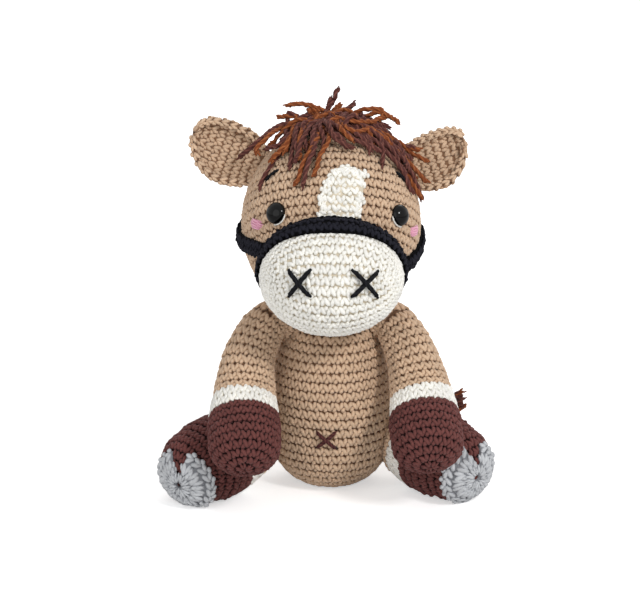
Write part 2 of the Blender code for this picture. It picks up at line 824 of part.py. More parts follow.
def arm(side):
    return Limb(ARM_ROOT, ARM_END, ARM_PATH_SHARES, ARM_RADIUS, ARM_RADIUS_SHARES, ARM_TIP, side)


def leg(side):
    end_side = LEFT_LEG_END_SIDE if side > 0 else RIGHT_LEG_END_SIDE
    end_radius = LEG_RADIUS * LEG_RADIUS_SHARES[-1][1]
    end = (end_side, -LEG_END_FRONT, end_radius - SEAT_DEPTH)
    return Limb(LEG_ROOT, end, LEG_PATH_SHARES, LEG_RADIUS, LEG_RADIUS_SHARES, LEG_TIP, side)


def make_sole(limb):
    """A horseshoe of crochet on the round end of a leg: a cap with a centre hole and a notch."""
    frame = frame_towards(limb.fine[-1], limb.end_heading())
    outer = GAP + SOLE_THICKNESS
    far = LEG_TIP + outer + OVERRUN
    cap = within(limb.form(outer), rod(SOLE_RADIUS, -OVERRUN, far, frame, TURNED_SIDES))
    reach = SOLE_RADIUS * 2
    half = reach * math.tan(SOLE_NOTCH_ANGLE / 2)
    mesh = bpy.data.meshes.new("notch")
    wedge = bmesh.new()
    low = [wedge.verts.new((x, y, 0)) for x, y in ((0, 0), (half, reach), (-half, reach))]
    face = wedge.faces.new(low)
    grown = bmesh.ops.extrude_face_region(wedge, geom=[face])
    raised = [v for v in grown["geom"] if isinstance(v, bmesh.types.BMVert)]
    bmesh.ops.translate(wedge, vec=Vector((0, 0, far)), verts=raised)
    bmesh.ops.recalc_face_normals(wedge, faces=wedge.faces)
    wedge.to_mesh(mesh)
    wedge.free()
    notch = placed(mesh, frame)
    hole = rod(SOLE_HOLE_RADIUS, 0, far, frame, 8)
    return less(less(cap, limb.form(GAP), hole), notch, floor_block())


def make_limbs():
    """Each limb stays clear of what it turns against, from rest to the end of its range."""
    seam = NECK_SEAM_HEIGHT_SHARE * BODY_HEIGHT
    neck = rod(
        body_radius(seam) + STRAND_RADIUS * 2 + SEAM_GAP,
        seam - STRAND_RADIUS - GAP,
        BODY_HEIGHT + OVERRUN,
        Matrix(),
        TURNED_SIDES,
    )
    body, head = body_form(SEAM_GAP), head_form(ARM_HEAD_GAP)
    for name, side in (("left", 1), ("right", -1)):
        limb = arm(side)
        clear_of = swept((body, head, neck), seat_of(limb), ARM_LIFT)
        made = limb_pieces(f"{name}_arm", limb, ARM_HOOF, ARM_CUFF, clear_of)
        hang(made, f"{name}_shoulder", seat_of(limb))
        resting = (floor_block(), limb.form(LEG_ARM_GAP))
        limb = leg(side)
        clear_of = (*swept((body,), seat_of(limb), -LEG_FALL), *resting)
        made = limb_pieces(f"{name}_leg", limb, LEG_HOOF, LEG_CUFF, clear_of)
        made.append(piece(f"{name}_leg_sole", make_sole(limb), GREY))
        hang(made, f"{name}_hip", seat_of(limb))


def swept(forms, place, angle):
    """The forms where they are, and turned half and all of an angle about X through a place."""
    turned_forms = []
    for share in (0, 0.5, 1):
        turn = (
            Matrix.Translation(place)
            @ Matrix.Rotation(angle * share, 4, "X")
            @ Matrix.Translation(-place)
        )
        turned_forms += [placed(form.data, turn @ form.matrix_world) for form in forms]
    return turned_forms


def seat_of(limb):
    """Where the limb's path leaves the body's surface."""
    for place in limb.fine:
        if math.hypot(place.x, place.y) > body_radius(place.z):
            return place
    return limb.fine[0]


def make_tail():
    """A tassel that starts as a round knot on the body's back, with a tie round it past the knot."""
    radii = [
        TAIL_RADIUS * between(TAIL_RADIUS_SHARES, i / TAIL_STEPS) for i in range(TAIL_STEPS + 1)
    ]
    root = Vector((0, body_radius(TAIL_ROOT_HEIGHT) + SEAM_GAP + radii[0], TAIL_ROOT_HEIGHT))
    places = [
        root + Vector((TAIL_REACH * x, TAIL_BACK * y, TAIL_FALL * z)) for x, y, z in TAIL_PATH_SHARES
    ]
    points = [through(places, i / TAIL_STEPS) for i in range(TAIL_STEPS + 1)]
    tassel = tube(points, radii, detail=2)
    knot = ellipsoid([radii[0]] * 3, Matrix.Translation(points[0]), 8, 6)
    tassel = joined(tassel, knot)
    tie_at = int(TAIL_STEPS * TAIL_TIE_SHARE)
    along = (points[tie_at + 1] - points[tie_at - 1]).normalized()
    frame = frame_towards(points[tie_at], along)
    inner = radii[tie_at] + TAIL_TIE_SLACK
    tie = less(
        rod(inner + STRAND_RADIUS, -TAIL_TIE_WIDTH / 2, TAIL_TIE_WIDTH / 2, frame),
        rod(inner, -TAIL_TIE_WIDTH, TAIL_TIE_WIDTH, frame),
    )
    made = [piece("tail_tassel", tassel, MANE_BROWN), piece("tail_tie", tie, BLACK)]
    hang(made, "tail_root", points[0])


def main():
    for old in list(bpy.data.objects):
        bpy.data.objects.remove(old)
    make_body()
    make_head()
    make_muzzle()
    make_halter()
    make_blaze()
    make_eyes()
    make_brows_and_cheeks()
    make_ears()
    make_mane()
    make_limbs()
    make_tail()


main()
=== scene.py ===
"""A seated crocheted horse with a halter, a yarn mane and a tassel tail, dressed on its frame."""

import math
import random

import bmesh
import bpy
from mathutils import Matrix, Vector


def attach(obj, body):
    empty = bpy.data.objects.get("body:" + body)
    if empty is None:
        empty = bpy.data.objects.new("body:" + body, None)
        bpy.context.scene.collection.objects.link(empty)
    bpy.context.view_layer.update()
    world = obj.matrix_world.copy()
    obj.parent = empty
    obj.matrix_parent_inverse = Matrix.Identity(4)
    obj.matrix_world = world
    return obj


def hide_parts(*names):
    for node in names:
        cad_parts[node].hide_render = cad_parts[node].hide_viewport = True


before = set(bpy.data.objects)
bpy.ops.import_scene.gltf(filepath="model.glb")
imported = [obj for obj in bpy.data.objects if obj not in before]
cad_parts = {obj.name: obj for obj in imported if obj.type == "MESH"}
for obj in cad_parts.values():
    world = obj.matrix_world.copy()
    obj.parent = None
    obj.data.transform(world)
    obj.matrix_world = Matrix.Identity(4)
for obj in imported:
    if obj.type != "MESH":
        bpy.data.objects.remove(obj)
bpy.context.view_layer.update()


# ---- Camera
# The view in the photograph: a long lens a little over a metre away, just above the toy
# and a touch to its right.

MM = 0.001
PICTURE_MIDDLE = (320, 297)
FOCUS = 2000
VIEW_DISTANCE = 1.1
AIM = Vector((0, 0, 95 * MM))
AIM_SEEN_AT = (331, 316)


def show(name, data):
    """Puts a mesh, a lamp or a lens in the scene."""
    made = bpy.data.objects.new(name, data)
    bpy.context.scene.collection.objects.link(made)
    return made


lens = bpy.data.cameras.new("camera")
lens.sensor_width = 36
lens.lens = FOCUS * lens.sensor_width / (2 * PICTURE_MIDDLE[0])
lens.clip_start, lens.clip_end = 0.05, 50
camera = show("camera", lens)
to_camera = Vector((-0.04193, -0.96035, 0.27564))
rightward = Vector((0.99905, -0.04362, 0))
upward = Vector((0.01202, 0.27538, 0.96127))
camera.rotation_mode = "QUATERNION"
camera.rotation_quaternion = Matrix((rightward, upward, to_camera)).transposed().to_quaternion()
camera.location = (
    AIM
    + to_camera * VIEW_DISTANCE
    - rightward * ((AIM_SEEN_AT[0] - PICTURE_MIDDLE[0]) / FOCUS * VIEW_DISTANCE)
    + upward * ((AIM_SEEN_AT[1] - PICTURE_MIDDLE[1]) / FOCUS * VIEW_DISTANCE)
)
bpy.context.scene.camera = camera


# ---- Body
# A stuffed tube of single crochet in tan cotton, worked upwards in rounds from the seat.
# Each stitch shows as a V: a long slanted leg, a short leg and the small loop beside them.

STITCH_WIDTH = 4.9 * MM
ROW_HEIGHT = 5.1 * MM
YARN_RELIEF = 2.4 * MM
CORE_DEPTH = 0.95 * MM
STITCH_SINK = 0.3 * MM
ROW_LEAN = 0.63
FLOOR_CLEAR = 2.1 * MM

# One stitch: each loop's middle, half width, half length and lean, in shares of the stitch
STITCH_LOOPS = (
    ((-0.18, 0.03, 0.0), 0.285, 0.56, math.radians(36)),
    ((0.24, 0.14, -0.03), 0.27, 0.45, math.radians(-14)),
    ((0.50, -0.27, -0.06), 0.26, 0.31, math.radians(-32)),
)

# What each stitch's point says: the way out, the way on, its share of width and of length
STITCH_SAYS = ("out", "onward", "fit", "reach")

# How finely a surface is measured, and how short and long a stitch may get
MEASURED_LEVELS = 160
MEASURED_SIDES = 72
STITCH_REACH = (0.72, 1.6)

BODY_RADIUS = 32.8 * MM
BODY_HEIGHT = 106.0 * MM
BODY_FULLNESS = 1.03
SEAT_DEPTH = 0.5 * MM
BODY_SPAN = (0.0, 0.93)
BODY_OUTLINE = (
    (0.0, 0.0), (0.34, 0.003), (0.65, 0.048), (0.87, 0.130), (0.97, 0.240), (1.0, 0.350),
    (1.0, 0.460), (0.96, 0.600), (0.83, 0.745), (0.66, 0.845), (0.44, 0.895), (0.44, 0.960),
    (0.38, 0.995), (0.0, 1.0),
)
HEAD_RADIUS = 48.0 * MM
HEAD_HALF_HEIGHT = 52.5 * MM
HEAD_SIZES = (HEAD_RADIUS, HEAD_RADIUS, HEAD_HALF_HEIGHT)
HEAD_PLACE = (
    Matrix.Translation((0, 0, 147.5 * MM))
    @ Matrix.Rotation(math.radians(2.5), 4, "Z")
    @ Matrix.Rotation(math.radians(2.2), 4, "Y")
    @ Matrix.Rotation(math.radians(-18), 4, "X")
)

# Each yarn's three colours: painted shade in the gaps between stitches, the yarn's own colour, and
# painted light on the crests
TAN = ("#86644A", "#B6967A", "#D2B497")
# Where the ramp puts the painted shade, the own colour and the painted light
PAINTED_SHADE_STOPS = (0.28, 0.72, 1.0)
PLY_TURNS = (2.0 * math.tau, 2.5 * math.tau, 0)
FIBRE_SCALE = 1100


def linear(hex_colour):
    """The linear colour of an sRGB hex value."""
    parts = [int(hex_colour[i : i + 2], 16) / 255 for i in (1, 3, 5)]
    return (*[p / 12.92 if p <= 0.04045 else ((p + 0.055) / 1.055) ** 2.4 for p in parts], 1)


def feed(tree, node, inputs):
    """Gives a node's inputs their values, or links from sockets or from nodes' first outputs."""
    for key, given in inputs.items():
        for value in given if isinstance(given, list) else [given]:
            if isinstance(value, bpy.types.Node):
                value = value.outputs[0]
            if isinstance(value, bpy.types.NodeSocket):
                tree.links.new(value, node.inputs[key])
            else:
                node.inputs[key].default_value = value


def add(tree, kind, inputs=None, **settings):
    """One node with its settings and its inputs."""
    made = tree.nodes.new(kind)
    for key, value in settings.items():
        setattr(made, key, value)
    feed(tree, made, inputs or {})
    return made


def material_tree(name):
    """A new material and its nodes."""
    made = bpy.data.materials.new(name)
    made.use_nodes = True
    return made, made.node_tree


def painted_shade_ramp(ramp, colours):
    """The ramp, with a yarn's three colours: painted shade in the gaps, its own colour, painted
    light on the crests.
    """
    stops = ramp.color_ramp.elements
    stops[0].position, stops[1].position = PAINTED_SHADE_STOPS[0], PAINTED_SHADE_STOPS[2]
    stops[0].color, stops[1].color = linear(colours[0]), linear(colours[2])
    stops.new(PAINTED_SHADE_STOPS[1]).color = linear(colours[1])
    return ramp


def cotton_yarn(name, colours, roughness=0.82, sheen=0.2, gloss=0.3):
    """Mercerised cotton yarn: a soft sheen, slanted plies, painted shade in gaps and painted light
    on crests.
    """
    made, tree = material_tree(name)
    height, shade, strand = [
        add(tree, "ShaderNodeAttribute", attribute_name=label)
        for label in ("height", "shade", "strand")
    ]
    turns = add(
        tree, "ShaderNodeVectorMath", {0: strand.outputs["Vector"], 1: PLY_TURNS},
        operation="DOT_PRODUCT",
    )
    ply = add(tree, "ShaderNodeMath", {0: turns.outputs["Value"]}, operation="SINE")
    place = add(tree, "ShaderNodeTexCoord")
    fibre = add(
        tree, "ShaderNodeTexNoise",
        {"Vector": place.outputs["Object"], "Scale": FIBRE_SCALE, "Detail": 3, "Roughness": 0.6},
    )
    # The ramp's factor is the stitch's height, so the gaps get painted shade and the crests painted
    # light; fibre noise mottles it and the plies' grooves get a little painted shade
    mottle_and_painted_shade = add(
        tree, "ShaderNodeMath", {0: fibre, 1: 0.35, 2: height.outputs["Fac"]},
        operation="MULTIPLY_ADD",
    )
    painted_shade_and_ply = add(tree, "ShaderNodeMath", {0: ply, 1: 0.07, 2: mottle_and_painted_shade}, operation="MULTIPLY_ADD")
    ramp = painted_shade_ramp(add(tree, "ShaderNodeValToRGB", {"Fac": painted_shade_and_ply}), colours)
    value = add(
        tree, "ShaderNodeMath", {0: shade.outputs["Fac"], 1: 0.14, 2: 0.93},
        operation="MULTIPLY_ADD",
    )
    tint = add(tree, "ShaderNodeHueSaturation", {"Color": ramp, "Value": value})
    relief = add(tree, "ShaderNodeMath", {0: ply, 1: 0.35, 2: fibre}, operation="MULTIPLY_ADD")
    bump = add(tree, "ShaderNodeBump", {"Height": relief, "Strength": 0.5, "Distance": 0.25 * MM})
    feed(tree, tree.nodes["Principled BSDF"], {
        "Roughness": roughness, "Sheen Weight": sheen, "Sheen Roughness": 0.45,
        "Specular IOR Level": gloss, "Base Color": tint, "Normal": bump,
    })
    return made


def yarn_tree(name, inputs):
    """A tree of geometry nodes with named inputs and a yarn, and its first node."""
    tree = bpy.data.node_groups.new(name, "GeometryNodeTree")
    for way in ("OUTPUT", "INPUT"):
        tree.interface.new_socket("Geometry", in_out=way, socket_type="NodeSocketGeometry")
    for label, kind, value in (*inputs, ("Yarn", "Material", None)):
        made = tree.interface.new_socket(label, in_out="INPUT", socket_type="NodeSocket" + kind)
        if value is not None:
            made.default_value = value
    return tree, add(tree, "NodeGroupInput")


def stitch_nodes():
    """Sets one crochet stitch on each point that has a fit, turned to its surface and its round."""
    tree, start = yarn_tree("crochet_stitches", (
        ("Stitch Width", "Float", STITCH_WIDTH), ("Row Height", "Float", ROW_HEIGHT),
        ("Relief", "Float", YARN_RELIEF), ("Unevenness", "Float", 0.1), ("Seed", "Int", 0),
    ))
    loops = []
    for place, half_width, half_length, lean in STITCH_LOOPS:
        ball = add(tree, "GeometryNodeMeshUVSphere", {"Segments": 6, "Rings": 4, "Radius": 1})
        mapped = add(
            tree, "GeometryNodeStoreNamedAttribute",
            {"Geometry": ball, "Name": "strand", "Value": ball.outputs["UV Map"]},
            data_type="FLOAT2", domain="CORNER",
        )
        loops.append(add(tree, "GeometryNodeTransform", {
            "Geometry": mapped, "Translation": place, "Rotation": (math.pi / 2, 0, lean),
            "Scale": (half_width, 0.5, half_length),
        }))
    stitch = add(tree, "GeometryNodeJoinGeometry", {0: loops})
    # The stitch's height, low at its foot and high at its crest, which the yarn's ramp turns into
    # painted shade below and painted light on top
    split = add(tree, "ShaderNodeSeparateXYZ", {0: add(tree, "GeometryNodeInputPosition")})
    lift = add(tree, "ShaderNodeMath", {0: split.outputs["Z"], 1: 0.5}, operation="ADD")
    raised = add(
        tree, "GeometryNodeStoreNamedAttribute",
        {"Geometry": stitch, "Name": "height", "Value": lift}, data_type="FLOAT", domain="POINT",
    )

    out, onward, fit, reach = [
        add(tree, "GeometryNodeInputNamedAttribute", {"Name": label}, data_type=kind)
        for label, kind in zip(STITCH_SAYS, ("FLOAT_VECTOR", "FLOAT_VECTOR", "FLOAT", "FLOAT"))
    ]
    has_fit = add(
        tree, "FunctionNodeCompare", {"A": fit, "B": 0.0}, data_type="FLOAT",
        operation="GREATER_THAN",
    )
    sorted_out = add(
        tree, "GeometryNodeSeparateGeometry", {"Geometry": start, "Selection": has_fit},
        domain="POINT",
    )
    facing = add(
        tree, "FunctionNodeAxesToRotation", {"Primary Axis": out, "Secondary Axis": onward},
        primary_axis="Z", secondary_axis="Y",
    )
    uneven = start.outputs["Unevenness"]
    low = add(tree, "ShaderNodeMath", {0: uneven, 1: -1}, operation="MULTIPLY")
    wobble = add(
        tree, "FunctionNodeRandomValue",
        {"Min": low, "Max": uneven, "Seed": start.outputs["Seed"]}, data_type="FLOAT_VECTOR",
    )
    turned_a_little = add(
        tree, "FunctionNodeRotateRotation", {"Rotation": facing, "Rotate By": wobble},
        rotation_space="LOCAL",
    )
    width, length = [
        add(tree, "ShaderNodeMath", {0: start.outputs[size], 1: share}, operation="MULTIPLY")
        for size, share in (("Stitch Width", fit), ("Row Height", reach))
    ]
    size = add(
        tree, "ShaderNodeCombineXYZ", {"X": width, "Y": length, "Z": start.outputs["Relief"]}
    )
    placed_stitches = add(tree, "GeometryNodeInstanceOnPoints", {
        "Points": sorted_out, "Instance": raised, "Rotation": turned_a_little, "Scale": size,
    })
    tone = add(tree, "FunctionNodeRandomValue", {"Seed": start.outputs["Seed"]}, data_type="FLOAT")
    shade = next(o for o in tone.outputs if o.type == "VALUE" and o.enabled)
    toned = add(
        tree, "GeometryNodeStoreNamedAttribute",
        {"Geometry": placed_stitches, "Name": "shade", "Value": shade},
        data_type="FLOAT", domain="INSTANCE",
    )
    real = add(tree, "GeometryNodeRealizeInstances", {"Geometry": toned})
    both = add(tree, "GeometryNodeJoinGeometry", {0: [real, sorted_out.outputs["Inverted"]]})
    smooth = add(tree, "GeometryNodeSetShadeSmooth", {"Geometry": both})
    yarn = {"Geometry": smooth, "Material": start.outputs["Yarn"]}
    add(tree, "NodeGroupOutput", {0: add(tree, "GeometryNodeSetMaterial", yarn)})
    return tree


STITCHES = stitch_nodes()


def evaluated(name, mesh, tree, values, used):
    """The mesh put through a tree with named inputs, as a plain object without what it used."""
    made = show(name, mesh)
    live = made.modifiers.new("yarn", "NODES")
    live.node_group = tree
    sockets = {s.name: s.identifier for s in tree.interface.items_tree if s.in_out == "INPUT"}
    for key, value in values.items():
        live[sockets[key]] = value
    bpy.context.view_layer.update()
    shown = made.evaluated_get(bpy.context.evaluated_depsgraph_get())
    plain = bpy.data.meshes.new_from_object(shown)
    made.modifiers.clear()
    made.data = plain
    for label in used:
        if label in plain.attributes:
            plain.attributes.remove(plain.attributes[label])
    return made


def through(points, share):
    """The place at a share of the way along a smooth curve through evenly shared points."""
    last = len(points) - 1
    index = min(int(share * last), last - 1)
    t = share * last - index
    p = [Vector(points[min(max(index + k, 0), last)]) for k in (-1, 0, 1, 2)]
    return (
        p[1]
        + (p[2] - p[0]) * (t / 2)
        + (2 * p[0] - 5 * p[1] + 4 * p[2] - p[3]) * (t * t / 2)
        + (3 * p[1] - p[0] - 3 * p[2] + p[3]) * (t * t * t / 2)
    )


def surface_frame(surface, u, a, span):
    """The place on a surface, the way out of it and the way on to the next round."""
    low, high = span
    step = (high - low) * 0.002
    u = min(max(u, low + step), high - step)
    place = surface(u, a)
    onward = surface(u + step, a) - surface(u - step, a)
    across = surface(u, a + 0.01) - surface(u, a - 0.01)
    return place, across.cross(onward).normalized(), onward.normalized()


def length_run(places):
    """The length run along a line at each of its places."""
    run = [0.0]
    for first, second in zip(places, places[1:]):
        run.append(run[-1] + (second - first).length)
    return run


def step_at(run, wanted):
    """The step in which a run reaches a length, and the share of that step."""
    at = next(i for i in range(len(run) - 1) if run[i + 1] >= wanted)
    return at, (wanted - run[at]) / max(run[at + 1] - run[at], 1e-9)


def crochet_points(surface, span, width, row, rows=None, keep=None, skip=None):
    """The stitches of a worked surface: place, way out, way on, share of width and of length."""
    low, high = span
    levels = [low + (high - low) * i / MEASURED_LEVELS for i in range(MEASURED_LEVELS + 1)]
    run = [0.0]
    for first, second in zip(levels, levels[1:]):
        steps = [
            (surface(second, a) - surface(first, a)).length
            for a in (0.4, 0.4 + math.tau / 3, 0.4 + math.tau * 2 / 3)
        ]
        run.append(run[-1] + sum(steps) / 3)
    rows = rows or max(1, round(run[-1] / row))

    def level_at(rounds):
        at, share = step_at(run, run[-1] * min(max(rounds / rows, 0), 1))
        return levels[at] + (levels[at + 1] - levels[at]) * share

    stitches = []
    for index in range(rows):
        u, below, above = level_at(index + 0.5), level_at(index), level_at(index + 1)
        ring = [surface(u, math.tau * i / MEASURED_SIDES) for i in range(MEASURED_SIDES + 1)]
        round_run = length_run(ring)
        count = max(5, round(round_run[-1] / width))
        fit = round_run[-1] / count / width
        centre = sum(ring[:-1], Vector()) / MEASURED_SIDES
        found = []
        for stitch in range(count):
            share_round = ((stitch + index * ROW_LEAN) / count) % 1
            at, share = step_at(round_run, round_run[-1] * share_round)
            a = math.tau * (at + share) / MEASURED_SIDES
            reach = (surface(above, a) - surface(below, a)).length / row
            reach = min(max(reach, STITCH_REACH[0]), STITCH_REACH[1])
            found.append((*surface_frame(surface, u, a, span), a, reach))
        outward = sum((place - centre).dot(out) for place, out, *_ in found) >= 0
        for place, out, onward, a, reach in found:
            if (keep is None or keep(place)) and not (skip and skip(a)):
                stitches.append((place, out if outward else -out, onward, fit, reach))
    return stitches


def skin(rings, merge=0.0):
    """A closed shell over rings of places, with its first and last ring filled."""
    shell = bmesh.new()
    grid = [[shell.verts.new(p) for p in ring] for ring in rings]
    for lower, upper in zip(grid, grid[1:]):
        for j in range(len(lower)):
            k = (j + 1) % len(lower)
            shell.faces.new((lower[j], lower[k], upper[k], upper[j]))
    shell.faces.new(grid[0])
    shell.faces.new(grid[-1])
    if merge:
        bmesh.ops.remove_doubles(shell, verts=shell.verts, dist=merge)
    bmesh.ops.recalc_face_normals(shell, faces=shell.faces)
    return shell


def core_mesh(surface, span, depth=CORE_DEPTH, rings=26, sides=40):
    """The fabric behind the stitches, a closed shell a little inside the worked surface."""
    # The shell carries no stitch height, so the yarn paints it in its gap colour: a sheet of
    # painted shade behind the stitches
    low, high = span
    grid = []
    for i in range(rings + 1):
        u = low + (high - low) * i / rings
        turns = [math.tau * j / sides for j in range(sides)]
        frames = [surface_frame(surface, u, a, span) for a in turns]
        centre = sum((f[0] for f in frames), Vector()) / sides
        inward = -depth if sum((f[0] - centre).dot(f[1]) for f in frames) >= 0 else depth
        grid.append([surface(u, a) + f[1] * inward for a, f in zip(turns, frames)])
    shell = skin(grid, 0.05 * MM)
    bmesh.ops.dissolve_degenerate(shell, edges=shell.edges, dist=0.01 * MM)
    return shell


def crochet(
    name, yarn, stitches, core, seed, row=ROW_HEIGHT, width=STITCH_WIDTH, relief=YARN_RELIEF,
    sink=STITCH_SINK, uneven=0.1, floor=None,
):
    """One worked piece: its core with a stitch on each point."""
    core.verts.index_update()
    points = [vert.co.copy() for vert in core.verts]
    faces = [[vert.index for vert in face.verts] for face in core.faces]
    core.free()
    first = len(points)
    points += [place - out * sink for place, out, *_ in stitches]
    if floor is not None:
        for point in points:
            point.z = max(point.z, floor)
    mesh = bpy.data.meshes.new(name)
    mesh.from_pydata(points, [], faces)
    for at, label in enumerate(STITCH_SAYS, 1):
        kind, says = ("FLOAT_VECTOR", "vector") if at < 3 else ("FLOAT", "value")
        data = mesh.attributes.new(label, kind, "POINT").data
        for index, stitch in enumerate(stitches, first):
            setattr(data[index], says, stitch[at])
    values = {
        "Stitch Width": width, "Row Height": row, "Relief": relief, "Unevenness": uneven,
        "Seed": seed, "Yarn": yarn,
    }
    return evaluated(name, mesh, STITCHES, values, STITCH_SAYS)


def dress(made, body, slot, *nodes):
    """The piece rides on its body and stands for these solids, which it hides; the slot is not
    used.
    """
    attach(made, body)
    if nodes:
        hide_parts(*nodes)


def out_share(local, sizes, margin=0.0):
    """How far out a point lies in an ellipsoid grown by a margin, squared: 1 on its surface."""
    return sum((local[i] / (sizes[i] + margin)) ** 2 for i in range(3))


def inside_ellipsoid(point, place, sizes, margin=0.0):
    """Whether a point lies inside an ellipsoid in its own frame, grown by a margin."""
    return out_share(place.inverted() @ point, sizes, margin) < 1


def outside_head(p, margin=-2 * MM):
    """Whether a point lies outside the head, grown by a margin."""
    return not inside_ellipsoid(p, HEAD_PLACE, HEAD_SIZES, margin)


def body_surface(u, a):
    radius, height, _ = through([(r, z, 0) for r, z in BODY_OUTLINE], u)
    radius = max(radius, 0) * BODY_RADIUS * BODY_FULLNESS
    return Vector((radius * math.cos(a), radius * math.sin(a), height * BODY_HEIGHT - SEAT_DEPTH))


tan_yarn = cotton_yarn("tan_cotton_yarn", TAN)
body_stitches = crochet_points(
    body_surface, BODY_SPAN, STITCH_WIDTH, ROW_HEIGHT, keep=outside_head
)
body_piece = crochet(
    "body_crochet", tan_yarn, body_stitches, core_mesh(body_surface, BODY_SPAN), 11,
    floor=FLOOR_CLEAR,
)
dress(body_piece, "torso", "tan_yarn", "body_cover", "body_stuffing")


# ---- Head
# A stuffed ball of the same tan yarn, worked downwards from the crown, so its V stitches
# stand on their heads. The rounds lean back a little more than the face does.

HEAD_SPAN = (0.0, 0.985)
ROUNDS = Matrix.Rotation(math.radians(-13), 3, "X")
MUZZLE_HALF_WIDTH = 38.0 * MM
MUZZLE_HALF_DEPTH = 34.0 * MM
MUZZLE_HALF_HEIGHT = 30.5 * MM
MUZZLE_SIZES = (MUZZLE_HALF_WIDTH, MUZZLE_HALF_DEPTH, MUZZLE_HALF_HEIGHT)
MUZZLE_PLACE = (
    HEAD_PLACE
    @ Matrix.Translation((-3 * MM, -35 * MM, -31.5 * MM))
    @ Matrix.Rotation(math.radians(-5), 4, "Z")
)
EYE_TURN = 42
EYE_LIFT = 2.5
EYE_RADIUS = 5.8 * MM


def off_ellipsoid(place, sizes, local, height):
    """The point a height off an ellipsoid at a local place of its surface, and the way out."""
    out = Vector([local[i] / sizes[i] ** 2 for i in range(3)]).normalized()
    return place @ (local + out * height), (place.to_3x3() @ out).normalized()


def on_head(direction, height=0.0):
    """A place on the head in a direction of the head's own frame, raised by a height."""
    d = Vector(direction).normalized()
    local = d * (1 / math.sqrt(out_share(d, HEAD_SIZES)))
    return off_ellipsoid(HEAD_PLACE, HEAD_SIZES, local, height)


def facing_head(turn, lift):
    """The direction in the head's frame at a turn from the face and a lift, in degrees."""
    t, e = math.radians(turn), math.radians(lift)
    return Vector((math.sin(t) * math.cos(e), -math.cos(t) * math.cos(e), math.sin(e)))


def head_surface(u, a):
    x, y = math.cos(a), -math.sin(a)
    angle = math.pi * u
    across = math.sin(angle)
    return on_head(ROUNDS @ Vector((across * x, across * y, math.cos(angle))))[0]


eye_centres = [on_head(facing_head(side * EYE_TURN, EYE_LIFT))[0] for side in (-1, 1)]


def on_bare_head(p):
    if inside_ellipsoid(p, MUZZLE_PLACE, MUZZLE_SIZES, -2.5 * MM):
        return False
    return all((p - centre).length > EYE_RADIUS * 0.75 for centre in eye_centres)


head_stitches = crochet_points(
    head_surface, HEAD_SPAN, STITCH_WIDTH, ROW_HEIGHT, keep=on_bare_head
)
head_core = core_mesh(head_surface, HEAD_SPAN, rings=32, sides=56)
head_piece = crochet("head_crochet", tan_yarn, head_stitches, head_core, 12)
dress(head_piece, "head", "tan_yarn", "head_cover", "head_stuffing")


# ---- Muzzle
# A stuffed oval of cream yarn, worked outwards from a foundation chain across its front
# and sewn on the lower half of the face.

# Gap colour painted shade, crest colour painted light, as for every yarn
CREAM = ("#DCD0BA", "#ECE9DF", "#F6F4EE")
CHAIN_SHARE = 0.5
MUZZLE_INSET = 0.6 * MM
MUZZLE_BACK = 1.45
MUZZLE_SPAN = (0.0, 1.0)
MUZZLE_ROWS = 14


def muzzle_local(angle, turn, inset=0.0):
    """A place on the muzzle, in its own frame, at an angle from its nose and a turn round it."""
    return Vector((
        (MUZZLE_HALF_WIDTH - inset) * math.sin(angle) * math.cos(turn),
        -(MUZZLE_HALF_DEPTH - inset) * math.cos(angle),
        (MUZZLE_HALF_HEIGHT - inset) * math.sin(angle) * math.sin(turn),
    ))


def muzzle_surface(u, a):
    reach = MUZZLE_BACK * u
    wide = reach if reach > 1 else CHAIN_SHARE + (1 - CHAIN_SHARE) * reach
    x, z = wide * math.cos(a), reach * math.sin(a)
    angle = math.hypot(x, z) * math.pi / 2
    return MUZZLE_PLACE @ muzzle_local(angle, math.atan2(z, x), MUZZLE_INSET)


cream_yarn = cotton_yarn("cream_cotton_yarn", CREAM)
muzzle_stitches = crochet_points(
    muzzle_surface, MUZZLE_SPAN, STITCH_WIDTH, ROW_HEIGHT, MUZZLE_ROWS, keep=outside_head
)
muzzle_core = core_mesh(muzzle_surface, MUZZLE_SPAN, 0.7 * MM, 24, 56)
muzzle_piece = crochet("muzzle_crochet", cream_yarn, muzzle_stitches, muzzle_core, 13)
dress(muzzle_piece, "head", "cream_yarn", "muzzle_cover", "muzzle_stuffing")


# ---- Blaze
# A small flat patch of cream cotton crochet. It is sewn on the forehead, just above the
# noseband.

BLAZE_WIDTH = 22.0 * MM
BLAZE_HEIGHT = 30.0 * MM
BLAZE_BASE = -3.0 * MM
BLAZE_THICKNESS = 2.2 * MM
BLAZE_ROW = 4.6 * MM
BLAZE_STITCH = 4.8 * MM
BLAZE_RIM = 0.84
BLAZE_OUTLINE = (
    (-0.54, 0), (0.40, 0), (0.50, 0.30), (0.58, 0.82), (0.38, 0.96), (0.10, 1), (-0.22, 0.84),
    (-0.42, 0.60), (-0.46, 0.30),
)
PATCH_RINGS = ((1.0, 0.1), (1.0, 0.5), (0.95, 0.8), (0.7, 0.85), (0.4, 0.85), (0.15, 0.85))


def on_face(x, z, height):
    """A place on the front of the head, across and up from its middle."""
    depth = HEAD_RADIUS * math.sqrt(1 - (x / HEAD_RADIUS) ** 2 - (z / HEAD_HALF_HEIGHT) ** 2)
    return on_head((x, -depth, z), height)


def within_outline(x, z, outline):
    crossings = 0
    for (x0, z0), (x1, z1) in zip(outline, outline[1:] + outline[:1]):
        if (z0 > z) != (z1 > z) and x < x0 + (x1 - x0) * (z - z0) / (z1 - z0):
            crossings += 1
    return crossings % 2 == 1


